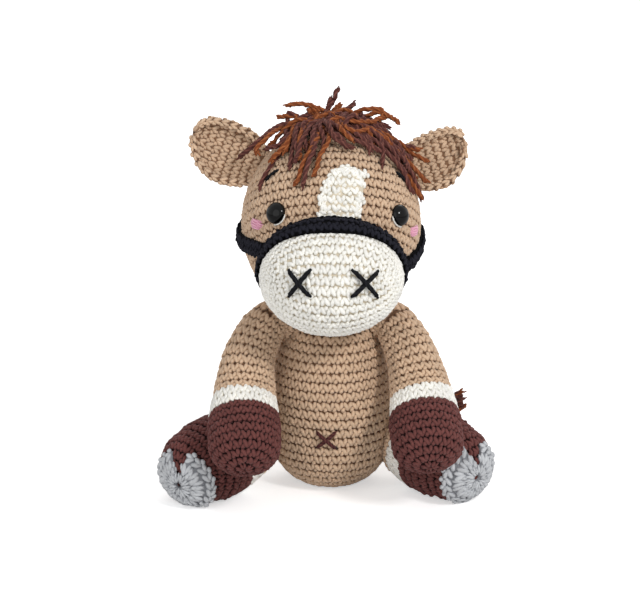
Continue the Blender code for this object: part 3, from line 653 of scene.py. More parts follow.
blaze_edge = [(x * BLAZE_WIDTH, BLAZE_BASE + z * BLAZE_HEIGHT) for x, z in BLAZE_OUTLINE]
blaze_middle = Vector([sum(p[i] for p in blaze_edge) for i in (0, 1)]) / len(blaze_edge)
dense_edge = [
    Vector(start).lerp(Vector(end), step / 4)
    for start, end in zip(blaze_edge, blaze_edge[1:] + blaze_edge[:1])
    for step in range(4)
]
# The patch's core has no stitch height, so it takes the cream yarn's gap colour: painted shade
# behind the stitches
blaze_core = skin([
    [on_face(*blaze_middle.lerp(p, share), rise * BLAZE_THICKNESS)[0] for p in dense_edge]
    for share, rise in PATCH_RINGS
])
blaze_stitches = []
head_up = (HEAD_PLACE.to_3x3() @ Vector((0, 0, 1))).normalized()
for row in range(8):
    z = BLAZE_BASE + BLAZE_ROW * (row + 0.45)
    for column in range(-4, 5):
        x = BLAZE_STITCH * (column + (0.5 if row % 2 else 0.0))
        if within_outline(x, z, blaze_edge):
            place, out = on_face(x, z, BLAZE_THICKNESS)
            blaze_stitches.append((place, out, head_up - out * head_up.dot(out), 1.0, 1.0))
for start, end in zip(dense_edge[1::2], dense_edge[3::2] + dense_edge[1:2]):
    place, out = on_face(*blaze_middle.lerp(start, BLAZE_RIM), BLAZE_THICKNESS * 0.9)
    along = on_face(*end, 0)[0] - on_face(*start, 0)[0]
    blaze_stitches.append((place, out, along.normalized(), 0.75, 1.0))
blaze_piece = crochet(
    "blaze_crochet", cream_yarn, blaze_stitches, blaze_core, 14, row=BLAZE_ROW * 1.05,
    width=BLAZE_STITCH, uneven=0.35,
)
dress(blaze_piece, "head", "cream_yarn", "blaze")


# ---- Halter
# Two crocheted strips of black yarn: the noseband over the join of muzzle and head, narrow
# at its lower ends, and the strap that runs from it round the back of the head.

# Gap colour painted shade, crest colour painted light, as for every yarn
HALTER_BLACK = ("#060609", "#121218", "#22222A")
BAND_STEPS = 56
BAND_START = math.radians(-42)
BAND_SWEEP = math.radians(264)
BAND_TAPER = 0.34
BAND_SEAT = 0.6 * MM
HALTER_LIFT = 0.2 * MM
NOSEBAND_WIDTH = 9.5 * MM
NOSEBAND_TOP_WIDTH = 12.5 * MM
NOSEBAND_THICKNESS = 4.0 * MM
NOSEBAND_TOP_THICKNESS = 5.6 * MM
STRAP_STEPS = 80
STRAP_WIDTH = 9.6 * MM
STRAP_THICKNESS = 4.0 * MM
STRAP_SKEW = 10.0 * MM
STRAP_DROP = 8.3 * MM
STRAP_PLACE = (
    HEAD_PLACE
    @ Matrix.Translation((0, 0, -STRAP_DROP))
    @ Matrix.Rotation(math.radians(-2), 4, "Y")
    @ Matrix.Rotation(math.radians(25.5), 4, "X")
)
STRAP_ON_HEAD = HEAD_PLACE.inverted() @ STRAP_PLACE
STRIP_STITCH = 4.2 * MM
STRIP_ROW_STEP = 0.3
STRIP_MEASURES = 240
STRIP_WHOLE = math.tau * 0.999999


def on_muzzle(angle, turn, height=0.0):
    """A place on the muzzle at an angle from its nose and a turn round it, and the way out."""
    return off_ellipsoid(MUZZLE_PLACE, MUZZLE_SIZES, muzzle_local(angle, turn), height)


def muzzle_edge(turn, distance):
    """The angle at which the muzzle's surface is a distance outside the head, about."""
    low, high = math.radians(20), math.radians(170)
    for _ in range(30):
        middle = (low + high) / 2
        local = HEAD_PLACE.inverted() @ on_muzzle(middle, turn)[0]
        if (math.sqrt(out_share(local, HEAD_SIZES)) - 1) * HEAD_RADIUS > distance:
            low = middle
        else:
            high = middle
    return low


def strip_surface(sections):
    """A domed strip through (edge, edge, way out, thickness) sections; u crosses it, a runs on."""

    def surface(u, a):
        share = (a / math.tau) % 1 * (len(sections) - 1)
        at = min(int(share), len(sections) - 2)
        t = share - at
        first, second = sections[at], sections[at + 1]
        inner, outer, out = [first[i].lerp(second[i], t) for i in range(3)]
        thick = first[3] + (second[3] - first[3]) * t
        bow = math.sin(math.pi * min(max(u, 0), 1)) ** 0.6
        across = (1 - math.cos(math.pi * u)) / 2
        return inner.lerp(outer, across) + out.normalized() * (thick * bow)

    return surface


def strip_core(sections, depth=0.7 * MM):
    """The closed fabric of a strip, a little inside its worked face."""
    # The strip's core has no stitch height, so it takes the yarn's gap colour: painted shade behind
    # the stitches
    surface = strip_surface(sections)
    rings = []
    for index, (inner, outer, *_) in enumerate(sections):
        middle = (inner + outer) / 2
        rim = [surface(k / 8, STRIP_WHOLE * index / (len(sections) - 1)) for k in range(9)]
        rings.append([
            p - (p - middle).normalized() * min(depth, (p - middle).length * 0.5) for p in rim
        ])
    return skin(rings, 0.01 * MM)


def strip_stitches(sections, rows):
    """Rows of stitches along a strip, across its domed face."""
    surface = strip_surface(sections)
    found = []
    for row in range(rows):
        u = 0.5 + (row - (rows - 1) / 2) * STRIP_ROW_STEP
        run = length_run([
            surface(u, STRIP_WHOLE * i / STRIP_MEASURES) for i in range(STRIP_MEASURES + 1)
        ])
        count = max(3, round(run[-1] / STRIP_STITCH))
        fit = run[-1] / count / STRIP_STITCH
        for stitch in range(count):
            at, _ = step_at(run, run[-1] * ((stitch + 0.5 + (0.5 if row % 2 else 0)) / count % 1))
            a = STRIP_WHOLE * (at + 0.5) / STRIP_MEASURES
            across = surface(min(u + 0.03, 1), a) - surface(max(u - 0.03, 0), a)
            along = surface(u, a + 0.02) - surface(u, a - 0.02)
            share = (a / math.tau) * (len(sections) - 1)
            out = along.cross(across).normalized()
            if out.dot(sections[min(int(share), len(sections) - 1)][2]) < 0:
                out = -out
            found.append((surface(u, a), out, across.normalized(), fit, 1.0))
    return found


halter_yarn = cotton_yarn("black_cotton_yarn", HALTER_BLACK, 0.9, 0.0, 0.1)


def halter_strip(name, node, sections, rows, row, seed):
    """One strip of the halter, crocheted along its sections."""
    piece = crochet(
        name, halter_yarn, strip_stitches(sections, rows), strip_core(sections), seed, row=row,
        width=4.6 * MM, relief=1.7 * MM, sink=0.7 * MM, uneven=0.15,
    )
    dress(piece, "head", "black_yarn", node)


noseband_sections = []
for step in range(BAND_STEPS + 1):
    turn = BAND_START + BAND_SWEEP * step / BAND_STEPS
    taper = min(1.0, (1 - abs(step / BAND_STEPS * 2 - 1)) / BAND_TAPER)
    top = max(0.0, math.sin(turn)) ** 3
    wide = NOSEBAND_WIDTH + (NOSEBAND_TOP_WIDTH - NOSEBAND_WIDTH) * top
    wide *= 0.2 + 0.8 * taper**0.8
    inner, out_low = on_muzzle(muzzle_edge(turn, -BAND_SEAT), turn, HALTER_LIFT)
    outer, out_high = on_muzzle(muzzle_edge(turn, wide - BAND_SEAT), turn, HALTER_LIFT)
    thick = NOSEBAND_THICKNESS + (NOSEBAND_TOP_THICKNESS - NOSEBAND_THICKNESS) * top
    thick *= 0.45 + 0.55 * taper
    noseband_sections.append((inner, outer, ((out_low + out_high) / 2).normalized(), thick))
halter_strip("noseband_crochet", "noseband", noseband_sections, 3, 4.7 * MM, 15)


def crossing(start, way, sizes, side):
    """How far along a ray it crosses an ellipsoid on one side, or passes nearest its middle."""
    s, d = [Vector([v[i] / sizes[i] for i in range(3)]) for v in (start, way)]
    a, b, c = d.dot(d), d.dot(s), s.dot(s) - 1
    return (-b + side * math.sqrt(max(b * b - a * c, 0))) / a


def on_strap_line(turn, lift):
    """Where a ray across the strap's plane, raised along its width, meets the head."""
    lift -= STRAP_SKEW * math.cos(turn) * max(0.0, -math.sin(turn))
    start = STRAP_ON_HEAD @ Vector((0, 0, lift))
    way = STRAP_ON_HEAD.to_3x3() @ Vector((math.cos(turn), math.sin(turn), 0))
    return on_head(start + way * crossing(start, way, HEAD_SIZES, 1), HALTER_LIFT)


strap_sections = []
for step in range(STRAP_STEPS + 1):
    turn = math.radians(-70 + 320 * step / STRAP_STEPS)
    low_edge, out_low = on_strap_line(turn, -STRAP_WIDTH / 2)
    high_edge, out_high = on_strap_line(turn, STRAP_WIDTH / 2)
    out = ((out_low + out_high) / 2).normalized()
    if not inside_ellipsoid((low_edge + high_edge) / 2, MUZZLE_PLACE, MUZZLE_SIZES, -1.0 * MM):
        strap_sections.append((low_edge, high_edge, out, STRAP_THICKNESS))
halter_strip("cheek_strap_crochet", "cheek_strap", strap_sections, 2, 5.4 * MM, 16)


# ---- Eyes
# Safety eyes: polished black plastic domes with a moulded shank, held inside the head by a
# washer. A short white thread stitch lies beside each one.

EYE_DOME = 4.8 * MM
EYE_RIM = 0.9 * MM
EYE_BACK = 0.3 * MM
EYE_SHANK_RADIUS = 1.9 * MM
EYE_SHANK_LENGTH = 9.5 * MM
EYE_PROFILE = [
    (EYE_RADIUS * math.sin(t), EYE_RIM + (EYE_DOME - EYE_RIM) * math.cos(t))
    for t in [math.pi / 2 * i / 12 for i in range(13)]
] + [
    (EYE_RADIUS, 0.5 * MM), (EYE_RADIUS * 0.94, EYE_BACK), (EYE_SHANK_RADIUS, EYE_BACK),
    (EYE_SHANK_RADIUS, -EYE_SHANK_LENGTH), (0, -EYE_SHANK_LENGTH),
]


def frame_towards(place, direction):
    """A frame at a place whose Z points in a direction and whose Y is as near up as it can be."""
    z = Vector(direction).normalized()
    x = Vector((0, 0, 1)).cross(z).normalized()
    return Matrix.Translation(place) @ Matrix((x, z.cross(x), z)).transposed().to_4x4()


def revolved(name, profile, place, sides, surface_material):
    """A closed shape turned about its frame's Z, from (radius, height) pairs."""
    shell = bmesh.new()
    rings = []
    for radius, height in profile:
        turns = [math.tau * j / sides for j in range(sides)] if radius > 1e-7 else [0]
        rings.append([
            shell.verts.new(place @ Vector((radius * math.cos(t), radius * math.sin(t), height)))
            for t in turns
        ])
    for first, second in zip(rings, rings[1:]):
        for j in range(sides):
            k = (j + 1) % sides
            corners = [
                ring[at % len(ring)]
                for ring, at in ((first, j), (first, k), (second, k), (second, j))
            ]
            corners = list(dict.fromkeys(corners))
            if len(corners) > 2:
                shell.faces.new(corners)
    bmesh.ops.recalc_face_normals(shell, faces=shell.faces)
    mesh = bpy.data.meshes.new(name)
    shell.to_mesh(mesh)
    shell.free()
    for face in mesh.polygons:
        face.use_smooth = True
    mesh.materials.append(surface_material)
    return show(name, mesh)


def polished_plastic(name, colour, roughness):
    """Injection-moulded ABS: dense colour, a hard clear highlight and a few fine rub marks."""
    made, tree = material_tree(name)
    place = add(tree, "ShaderNodeTexCoord")
    rubs = add(
        tree, "ShaderNodeTexNoise",
        {"Vector": place.outputs["Object"], "Scale": 700, "Detail": 4},
    )
    spread = add(
        tree, "ShaderNodeMapRange",
        {"Value": rubs, "To Min": roughness * 0.7, "To Max": roughness * 1.6},
    )
    depth = add(
        tree, "ShaderNodeMixRGB",
        {"Fac": rubs, "Color1": linear(colour[0]), "Color2": linear(colour[1])},
    )
    feed(tree, tree.nodes["Principled BSDF"], {
        "IOR": 1.5, "Specular IOR Level": 0.2, "Roughness": spread, "Base Color": depth,
    })
    return made


eye_plastic = polished_plastic("black_abs_plastic", ("#010101", "#030304"), 0.07)
washer_plastic = polished_plastic("washer_white_polythene", ("#D8D6CE", "#E4E2DA"), 0.4)
for label, side in (("left", 1), ("right", -1)):
    eye_place = frame_towards(*on_head(facing_head(side * EYE_TURN, EYE_LIFT)))
    button = revolved(f"{label}_eye_button", EYE_PROFILE, eye_place, 40, eye_plastic)
    dress(button, "head", "eye_plastic", f"{label}_eye")
    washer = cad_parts[f"{label}_eye_washer"]
    washer.data.materials.clear()
    washer.data.materials.append(washer_plastic)


# ---- Embroidery
# Straight stitches of plied thread: black crosses for nostrils, black brows, a brown cross
# on the belly, pink satin stitches on the cheeks and a white one beside each eye.

# In each of these, the gap colour is painted shade and the crest colour painted light
HOOF_BROWN = ("#2F1615", "#532E2D", "#6C403C")
THREAD_BLACK = ("#050506", "#101014", "#1E1E24")
THREAD_PINK = ("#B87088", "#E6A2BA", "#F8C2D6")
THREAD_WHITE = ("#B8B6B0", "#EFEDE6", "#FBFAF6")
THREAD_RADIUS = 1.0 * MM
THREAD_LIFT = 1.5 * MM
NOSTRIL_RADIUS = 1.3 * MM
NOSTRIL_SIDE = 16.5 * MM
NOSTRIL_DROP = 4.0 * MM
NOSTRIL_ARM = {"left": 6.80 * MM, "right": 5.64 * MM}
NAVEL_HEIGHT = 35.0 * MM
NAVEL_TURN = math.radians(-7)
NAVEL_ARM = 5.8 * MM
NAVEL_LIFT = 2.2 * MM
BROW_RADIUS = 0.85 * MM
BROW_ENDS = ((56.5, 23.5), (46.5, 31.5))
CHEEK_RADIUS = 0.75 * MM
CHEEK_TURN = 60.5
CHEEK_LIFT = {"left": -6.0, "right": -3.4}
CHEEK_ROWS = (3.6, 5.0, 5.4, 4.2)
WHITE_RADIUS = 0.42 * MM
ROUND_END = (0.6, 0.95, 1, 1, 1, 1, 1, 0.95, 0.6)
END_TO_END = [step / 4 - 1 for step in range(9)]


def yarn_nodes():
    """Turns lines into plied yarn: a lobed round twisted along each line, with closed ends."""
    tree, start = yarn_tree("plied_yarn", (
        ("Yarn Radius", "Float", 1.0 * MM), ("Ply Depth", "Float", 0.16),
        ("Turns Per Metre", "Float", 150.0),
    ))
    circle = add(
        tree, "GeometryNodeCurvePrimitiveCircle", {"Resolution": 9, "Radius": 1}, mode="RADIUS"
    )
    index, place = add(tree, "GeometryNodeInputIndex"), add(tree, "GeometryNodeInputPosition")
    crest = add(tree, "ShaderNodeMath", {0: index, 1: math.tau / 3}, operation="MULTIPLY")
    wave = add(tree, "ShaderNodeMath", {0: crest}, operation="COSINE")
    grown = add(
        tree, "ShaderNodeMath", {0: wave, 1: start.outputs["Ply Depth"], 2: 1.0},
        operation="MULTIPLY_ADD",
    )
    scaled = add(tree, "ShaderNodeVectorMath", {0: place, "Scale": grown}, operation="SCALE")
    lobed = add(tree, "GeometryNodeSetPosition", {"Geometry": circle, "Position": scaled})
    # The plies' height round the strand, which the yarn's ramp turns into painted shade in the
    # grooves between plies and painted light on their crests
    level = add(tree, "ShaderNodeMath", {0: wave, 1: 0.28, 2: 0.55}, operation="MULTIPLY_ADD")
    ply_painted_shade = add(
        tree, "GeometryNodeStoreNamedAttribute",
        {"Geometry": lobed, "Name": "height", "Value": level}, data_type="FLOAT", domain="POINT",
    )
    lines = add(tree, "GeometryNodeMeshToCurve", {"Mesh": start})
    thick = add(tree, "GeometryNodeInputNamedAttribute", {"Name": "thick"}, data_type="FLOAT")
    along = add(tree, "GeometryNodeSplineParameter").outputs["Length"]
    radius, turn = [
        add(tree, "ShaderNodeMath", {0: measure, 1: start.outputs[size]}, operation="MULTIPLY")
        for measure, size in ((thick, "Yarn Radius"), (along, "Turns Per Metre"))
    ]
    tilt = add(tree, "ShaderNodeMath", {0: turn, 1: math.tau}, operation="MULTIPLY")
    sized = add(tree, "GeometryNodeSetCurveRadius", {"Curve": lines, "Radius": radius})
    twisted = add(tree, "GeometryNodeSetCurveTilt", {"Curve": sized, "Tilt": tilt})
    swept = add(tree, "GeometryNodeCurveToMesh", {
        "Curve": twisted, "Profile Curve": ply_painted_shade, "Scale": radius, "Fill Caps": True,
    })
    smooth = add(tree, "GeometryNodeSetShadeSmooth", {"Geometry": swept})
    real = add(tree, "GeometryNodeRealizeInstances", {"Geometry": smooth})
    yarn = {"Geometry": real, "Material": start.outputs["Yarn"]}
    add(tree, "NodeGroupOutput", {0: add(tree, "GeometryNodeSetMaterial", yarn)})
    return tree


PLIED_YARN = yarn_nodes()


def yarn_piece(name, place, strands, radius, yarn, turns=150.0, depth=0.16):
    """One dressed piece of plied strands; each is (points, thickness at each, tone)."""
    mesh = bpy.data.meshes.new(name)
    points, edges, thick, tone = [], [], [], []
    for line, thickness, shade in strands:
        first = len(points)
        points += [tuple(p) for p in line]
        edges += [(first + i, first + i + 1) for i in range(len(line) - 1)]
        thick += list(thickness)
        tone += [shade] * len(line)
    mesh.from_pydata(points, edges, [])
    for label, data in (("thick", thick), ("shade", tone)):
        mesh.attributes.new(label, "FLOAT", "POINT").data.foreach_set("value", data)
    values = {"Yarn Radius": radius, "Ply Depth": depth, "Turns Per Metre": turns, "Yarn": yarn}
    dress(evaluated(name, mesh, PLIED_YARN, values, ("thick",)), *place)


def crossed(surface, arm, reach):
    """Two straight stitches over each other, their ends sunk in the fabric."""
    strands = []
    for slope, rise in ((1, 0.0), (-1, THREAD_RADIUS)):
        line = []
        for t in END_TO_END:
            dip = -THREAD_RADIUS * 1.3 * max(0, abs(t) - 0.75) / 0.25
            line.append(surface(arm * t, arm * t * slope * reach, rise * (1 - t * t) + dip))
        strands.append((line, ROUND_END, 0.5))
    return strands


embroidery_black = cotton_yarn("black_embroidery_thread", THREAD_BLACK, 0.8, 0.0, 0.15)
embroidery_pink = cotton_yarn("pink_embroidery_thread", THREAD_PINK, 0.55, 0.3)
embroidery_white = cotton_yarn("white_embroidery_thread", THREAD_WHITE, 0.6, 0.2)
hoof_yarn = cotton_yarn("brown_cotton_yarn", HOOF_BROWN, sheen=0.06, gloss=0.14)
for label, side in (("left", 1), ("right", -1)):

    def on_nose(across, up, rise, side=side):
        x = (side * NOSTRIL_SIDE + across) / MUZZLE_HALF_WIDTH
        z = (up - NOSTRIL_DROP) / MUZZLE_HALF_HEIGHT
        angle = math.acos(math.sqrt(1 - x**2 - z**2))
        return on_muzzle(angle, math.atan2(z, x), THREAD_LIFT + rise)[0]

    nostril = crossed(on_nose, NOSTRIL_ARM[label], NOSTRIL_ARM["left"] / NOSTRIL_ARM[label])
    yarn_piece(
        f"{label}_nostril_cross", ("head", "black_yarn", f"{label}_nostril_stitch"), nostril,
        NOSTRIL_RADIUS, embroidery_black, turns=90, depth=0.1,
    )

    brow_line = []
    for step in range(9):
        t = step / 8
        turn, lift = [first + (last - first) * t for first, last in zip(*BROW_ENDS)]
        rise = THREAD_LIFT * math.sin(math.pi * t) ** 0.4
        brow_line.append(on_head(facing_head(side * turn, lift), rise)[0])
    yarn_piece(
        f"{label}_brow_stitch", ("head", "black_yarn", f"{label}_brow"),
        [(brow_line, ROUND_END, 0.5)], BROW_RADIUS, embroidery_black,
    )

    satin = []
    patch = frame_towards(*on_head(facing_head(side * CHEEK_TURN, CHEEK_LIFT[label])))
    for row, half in enumerate(CHEEK_ROWS):
        line = []
        for t in END_TO_END:
            beside = patch @ Vector((half * MM * t, (row - 1.5) * 1.25 * MM, 0))
            line.append(on_head(HEAD_PLACE.inverted() @ beside, 1.3 * MM - 1.4 * MM * t**4)[0])
        satin.append((line, ROUND_END, 0.3 + 0.15 * row))
    yarn_piece(
        f"{label}_cheek_satin", ("head", "pink_thread", f"{label}_cheek_stitch"), satin,
        CHEEK_RADIUS, embroidery_pink, turns=60, depth=0.08,
    )

    lid = []
    for step in range(13):
        angle = math.radians(-100 + 92 * step / 12)
        rim = EYE_RADIUS + WHITE_RADIUS * 0.6
        across, up = rim * math.cos(angle) * -side, rim * math.sin(angle)
        turn = side * EYE_TURN + math.degrees(across / HEAD_RADIUS)
        direction = facing_head(turn, EYE_LIFT + math.degrees(up / HEAD_RADIUS))
        lid.append(on_head(direction, THREAD_LIFT)[0])
    ends = [0.4, 0.8] + [1] * 9 + [0.8, 0.4]
    yarn_piece(
        f"{label}_eye_white_stitch", ("head", "white_thread", f"{label}_eye_white"),
        [(lid, ends, 0.5)], WHITE_RADIUS, embroidery_white,
    )


def between(pairs, share):
    """The value at a share along a table of (share, value) pairs."""
    for (low, first), (high, second) in zip(pairs, pairs[1:]):
        if share <= high:
            return first + (second - first) * (share - low) / (high - low)
    return pairs[-1][1]


def body_radius_at(height):
    """The radius of the body's outline at a height above the floor."""
    share = (height + SEAT_DEPTH) / BODY_HEIGHT
    return between([(z, r) for r, z in BODY_OUTLINE], share) * BODY_RADIUS


def on_belly(across, up, rise):
    radius = body_radius_at(NAVEL_HEIGHT + up) + NAVEL_LIFT + rise
    turn = NAVEL_TURN + across / radius
    return Vector((math.sin(turn) * radius, -math.cos(turn) * radius, NAVEL_HEIGHT + up))


yarn_piece(
    "navel_cross", ("torso", "brown_yarn", "navel_stitch"), crossed(on_belly, NAVEL_ARM, 0.9),
    THREAD_RADIUS * 1.15, hoof_yarn,
)


# ---- Neck
# The join of head and body, where the two are sewn together. One length of tan cotton
# yarn is whipped round it.

NECK_HEIGHT = 96.0 * MM
NECK_RADIUS = 16.2 * MM
NECK_WAVE = 0.5 * MM
NECK_WAVES = 18
NECK_STEPS = 144
neck_line = []
for step in range(NECK_STEPS + 1):
    a = math.tau * step / NECK_STEPS
    ring = NECK_RADIUS + NECK_WAVE * math.cos(a * NECK_WAVES)
    rise = NECK_WAVE * math.sin(a * NECK_WAVES)
    neck_line.append(Vector((ring * math.cos(a), ring * math.sin(a), NECK_HEIGHT + rise)))
yarn_piece(
    "neck_whipping", ("neck", "tan_yarn", "neck_seam"),
    [(neck_line, [1] * len(neck_line), 0.5)], THREAD_RADIUS, tan_yarn,
)


# ---- Ears
# Two cupped leaves of tan crochet, worked in rounds from the tip, pressed flat and sewn on
# the head with their hollow to the front.

EAR_SPAN = (0.0, 0.84)
EAR_HALF_LENGTH = 22.0 * MM
EAR_HALF_WIDTH = 16.5 * MM
EAR_DEPTH = 9.0 * MM
EAR_THICKNESS = 4.0 * MM
EAR_LEAST = 0.1 * MM
EAR_SIZE = {"left": 0.94, "right": 1.03}
EAR_SIDE = 55.0 * MM
EAR_LIFT = {"left": 34.5 * MM, "right": 36.5 * MM}
EAR_TIP_RISE = {"left": 5.6 * MM, "right": 4.5 * MM}
EAR_TURN = math.radians(70)
EAR_STITCH = 4.6 * MM
EAR_FACE_SHARE = 0.44
EAR_RIMS = (math.tau * 0.47, math.tau * 0.97)
RIM_KNOTS = 11
for label, side in (("left", 1), ("right", -1)):
    ear_place = (
        HEAD_PLACE
        @ Matrix.Translation((side * EAR_SIDE, 0, EAR_LIFT[label]))
        @ Matrix.Rotation(side * EAR_TURN, 4, "Y")
    )

    def ear_surface(u, a, place=ear_place, size=EAR_SIZE[label], rise=-side * EAR_TIP_RISE[label]):
        """The leaf from tip to root: up its hollow face, round its rim and down its back."""
        angle = math.pi * u
        swell = math.sin(math.pi * u**0.92)
        t = (a / math.tau) % 1
        half = EAR_THICKNESS / 2 * min(1.0, swell * 2.2)
        wide = max(size * EAR_HALF_WIDTH * swell - half, EAR_LEAST)
        deep = max(size * EAR_DEPTH * swell - half, EAR_LEAST)
        behind = t >= 0.5
        part = t - 0.5 if behind else t
        share = min(part / EAR_FACE_SHARE, 1)
        turn = math.pi * (1 - share if behind else share)
        if part < EAR_FACE_SHARE:
            push = Vector((math.cos(turn) / wide, math.sin(turn) / deep, 0)).normalized()
            push = -push if behind else push
        else:
            bend = math.pi * (part - EAR_FACE_SHARE) / (0.5 - EAR_FACE_SHARE)
            push = Vector((-math.cos(bend), -math.sin(bend), 0))
        across = wide * math.cos(turn) + rise * max(0, math.cos(angle)) ** 2
        along = size * EAR_HALF_LENGTH * math.cos(angle)
        return place @ (Vector((across, deep * math.sin(turn), along)) + push * half)

    found = crochet_points(
        ear_surface, EAR_SPAN, EAR_STITCH, 4.8 * MM, keep=lambda p: outside_head(p, 0),
        skip=lambda a: EAR_FACE_SHARE < (a / math.tau) % 0.5 < 0.5,
    )
    for rim in EAR_RIMS:
        for knot in range(RIM_KNOTS):
            u = 0.045 + 0.8 * (knot + 0.5) / RIM_KNOTS
            place, out, onward = surface_frame(ear_surface, u, rim, EAR_SPAN)
            middle = (ear_surface(u, 0) + ear_surface(u, math.tau * 0.45)) / 2
            out = out if out.dot(place - middle) > 0 else -out
            if outside_head(place, 0):
                found.append((place, out, onward, 0.8, 1.0))
    ear = crochet(
        f"{label}_ear_crochet", tan_yarn, found, core_mesh(ear_surface, EAR_SPAN, 0.7 * MM, 20),
        20 + side, row=4.9 * MM, width=EAR_STITCH, relief=2.2 * MM, sink=0.55 * MM,
    )
    dress(ear, f"{label}_ear_body", "tan_yarn", f"{label}_ear")


# ---- Arms and legs
# Stuffed tubes worked from a round brown hoof end upwards: brown, two rounds of cream,
# then tan. Each is sewn to the body by its open end.

ARM = dict(
    root=(12 * MM, 0, 85.0 * MM), end=(48.5 * MM, -59.0 * MM, 41.2 * MM), radius=19.0 * MM,
    radius_shares=(
        (0, 0.50), (0.20, 0.55), (0.36, 0.64), (0.48, 0.71), (0.72, 0.88), (0.88, 1), (1, 0.98),
    ),
    tip=14.0 * MM,
)
ARM_COURSE = {
    "right": (
        (0, 0, 0), (0.28, 0.03, -0.16), (0.61, 0.12, -0.20), (0.90, 0.35, 0.12),
        (0.99, 0.62, 0.58), (1, 1, 1),
    ),
    "left": (
        (0, 0, 0), (0.28, 0.03, -0.14), (0.58, 0.12, -0.18), (0.83, 0.35, 0.13),
        (0.96, 0.62, 0.58), (1, 1, 1),
    ),
}

# Where the lifted arm would reach into the head, its shoulder is pressed towards its middle
ARM_HINGE = Vector((0, -0.9 * MM, 91.0 * MM))
ARM_LIFTED = (
    Matrix.Translation(ARM_HINGE)
    @ Matrix.Rotation(math.radians(-28), 4, "X")
    @ Matrix.Translation(-ARM_HINGE)
)
PRESS_STEPS, PRESS_SHARE, PRESS_CLEAR = 14, 0.05, 1.8 * MM

LEG_RADIUS = 22.6 * MM
LEG_END_RADIUS = LEG_RADIUS * 0.90
LEG_TIP = 17.0 * MM
LEG = dict(
    root=(14 * MM, 10 * MM, 33.0 * MM),
    course=((0, 0, 0), (0.40, 0.17, 0.32), (0.70, 0.56, 0.78), (1, 1, 1)),
    radius=LEG_RADIUS,
    radius_shares=((0, 0.50), (0.34, 0.70), (0.52, 0.92), (0.72, 1), (0.88, 1), (1, 0.90)),
    tip=LEG_TIP,
)
LEG_END_SIDE = {"left": 66.8 * MM, "right": 74.9 * MM}
LIMB_MEASURES = 80
LIMB_ROW = ROW_HEIGHT * 0.98
SEWN_IN = 7 * MM
HOOF = {"arm": 18.5 * MM, "leg": 22.5 * MM}
CUFF = {"arm": 11.0 * MM, "leg": 9.5 * MM}
CUFF_ROUNDS = 2
CUFF_OVERLAP = 1.35


def limb_shape(side, root, end, course, radius, radius_shares, tip):
    """A limb's surface from its hoof's pole, u 0, to its root, u 1; u at a length; its line."""
    root, end = Vector(root), Vector(end)
    reach = end - root
    places = [
        Vector((side * (root.x + reach.x * x), root.y + reach.y * y, root.z + reach.z * z))
        for x, y, z in course
    ]
    line = [through(places, i / LIMB_MEASURES) for i in range(LIMB_MEASURES + 1)]
    run = length_run(line)
    length = run[-1]
    frames = []
    x_axis = Vector((0, 0, 1)).cross(line[1] - line[0]).normalized()
    for i, place in enumerate(line):
        heading = (line[min(i + 1, LIMB_MEASURES)] - line[max(i - 1, 0)]).normalized()
        x_axis = (x_axis - heading * x_axis.dot(heading)).normalized()
        frames.append((place, x_axis.copy(), heading.cross(x_axis), heading))
    end_radius = radius * radius_shares[-1][1]
    cap = math.pi / 2 * math.sqrt((tip**2 + end_radius**2) / 2)
    whole = cap + length

    def surface(u, a):
        reached = u * whole
        if reached < cap:
            angle = math.pi / 2 * max(reached, 0) / cap
            place, x, y, heading = frames[-1]
            place = place + heading * (tip * math.cos(angle))
            wide = end_radius * math.sin(angle)
        else:
            distance = min(max(length - (reached - cap), 0), length)
            at = min(int(distance / length * LIMB_MEASURES), LIMB_MEASURES - 1)
            while at < LIMB_MEASURES - 1 and run[at + 1] < distance:
                at += 1
            while at > 0 and run[at] > distance:
                at -= 1
            t = (distance - run[at]) / (run[at + 1] - run[at])
            place, x, y = [frames[at][i].lerp(frames[at + 1][i], t) for i in range(3)]
            wide = radius * between(radius_shares, distance / length)
        return place + x * (wide * math.cos(a)) + y * (wide * math.sin(a))

    return surface, lambda distance: (cap + length - distance) / whole, line, run


def pressed_shoulder(surface):
    """An arm's surface, pressed flat where the lifted arm would reach into the head."""

    def pressed(u, a):
        p = surface(u, a)
        middle = (p + surface(u, a + math.pi)) / 2
        for _ in range(PRESS_STEPS):
            if outside_head(ARM_LIFTED @ p, PRESS_CLEAR):
                break
            p = p.lerp(middle, PRESS_SHARE)
        return p

    return pressed


def inside_body(p, margin=0.0):
    if not 0 <= (p.z + SEAT_DEPTH) / BODY_HEIGHT <= 1:
        return False
    return math.hypot(p.x, p.y) < body_radius_at(p.z) + margin


def on_free_limb(p):
    """Whether a stitch here shows, clear of body, head and table."""
    return not inside_body(p, -1.5 * MM) and outside_head(p, 0.5 * MM) and p.z > -0.5 * MM


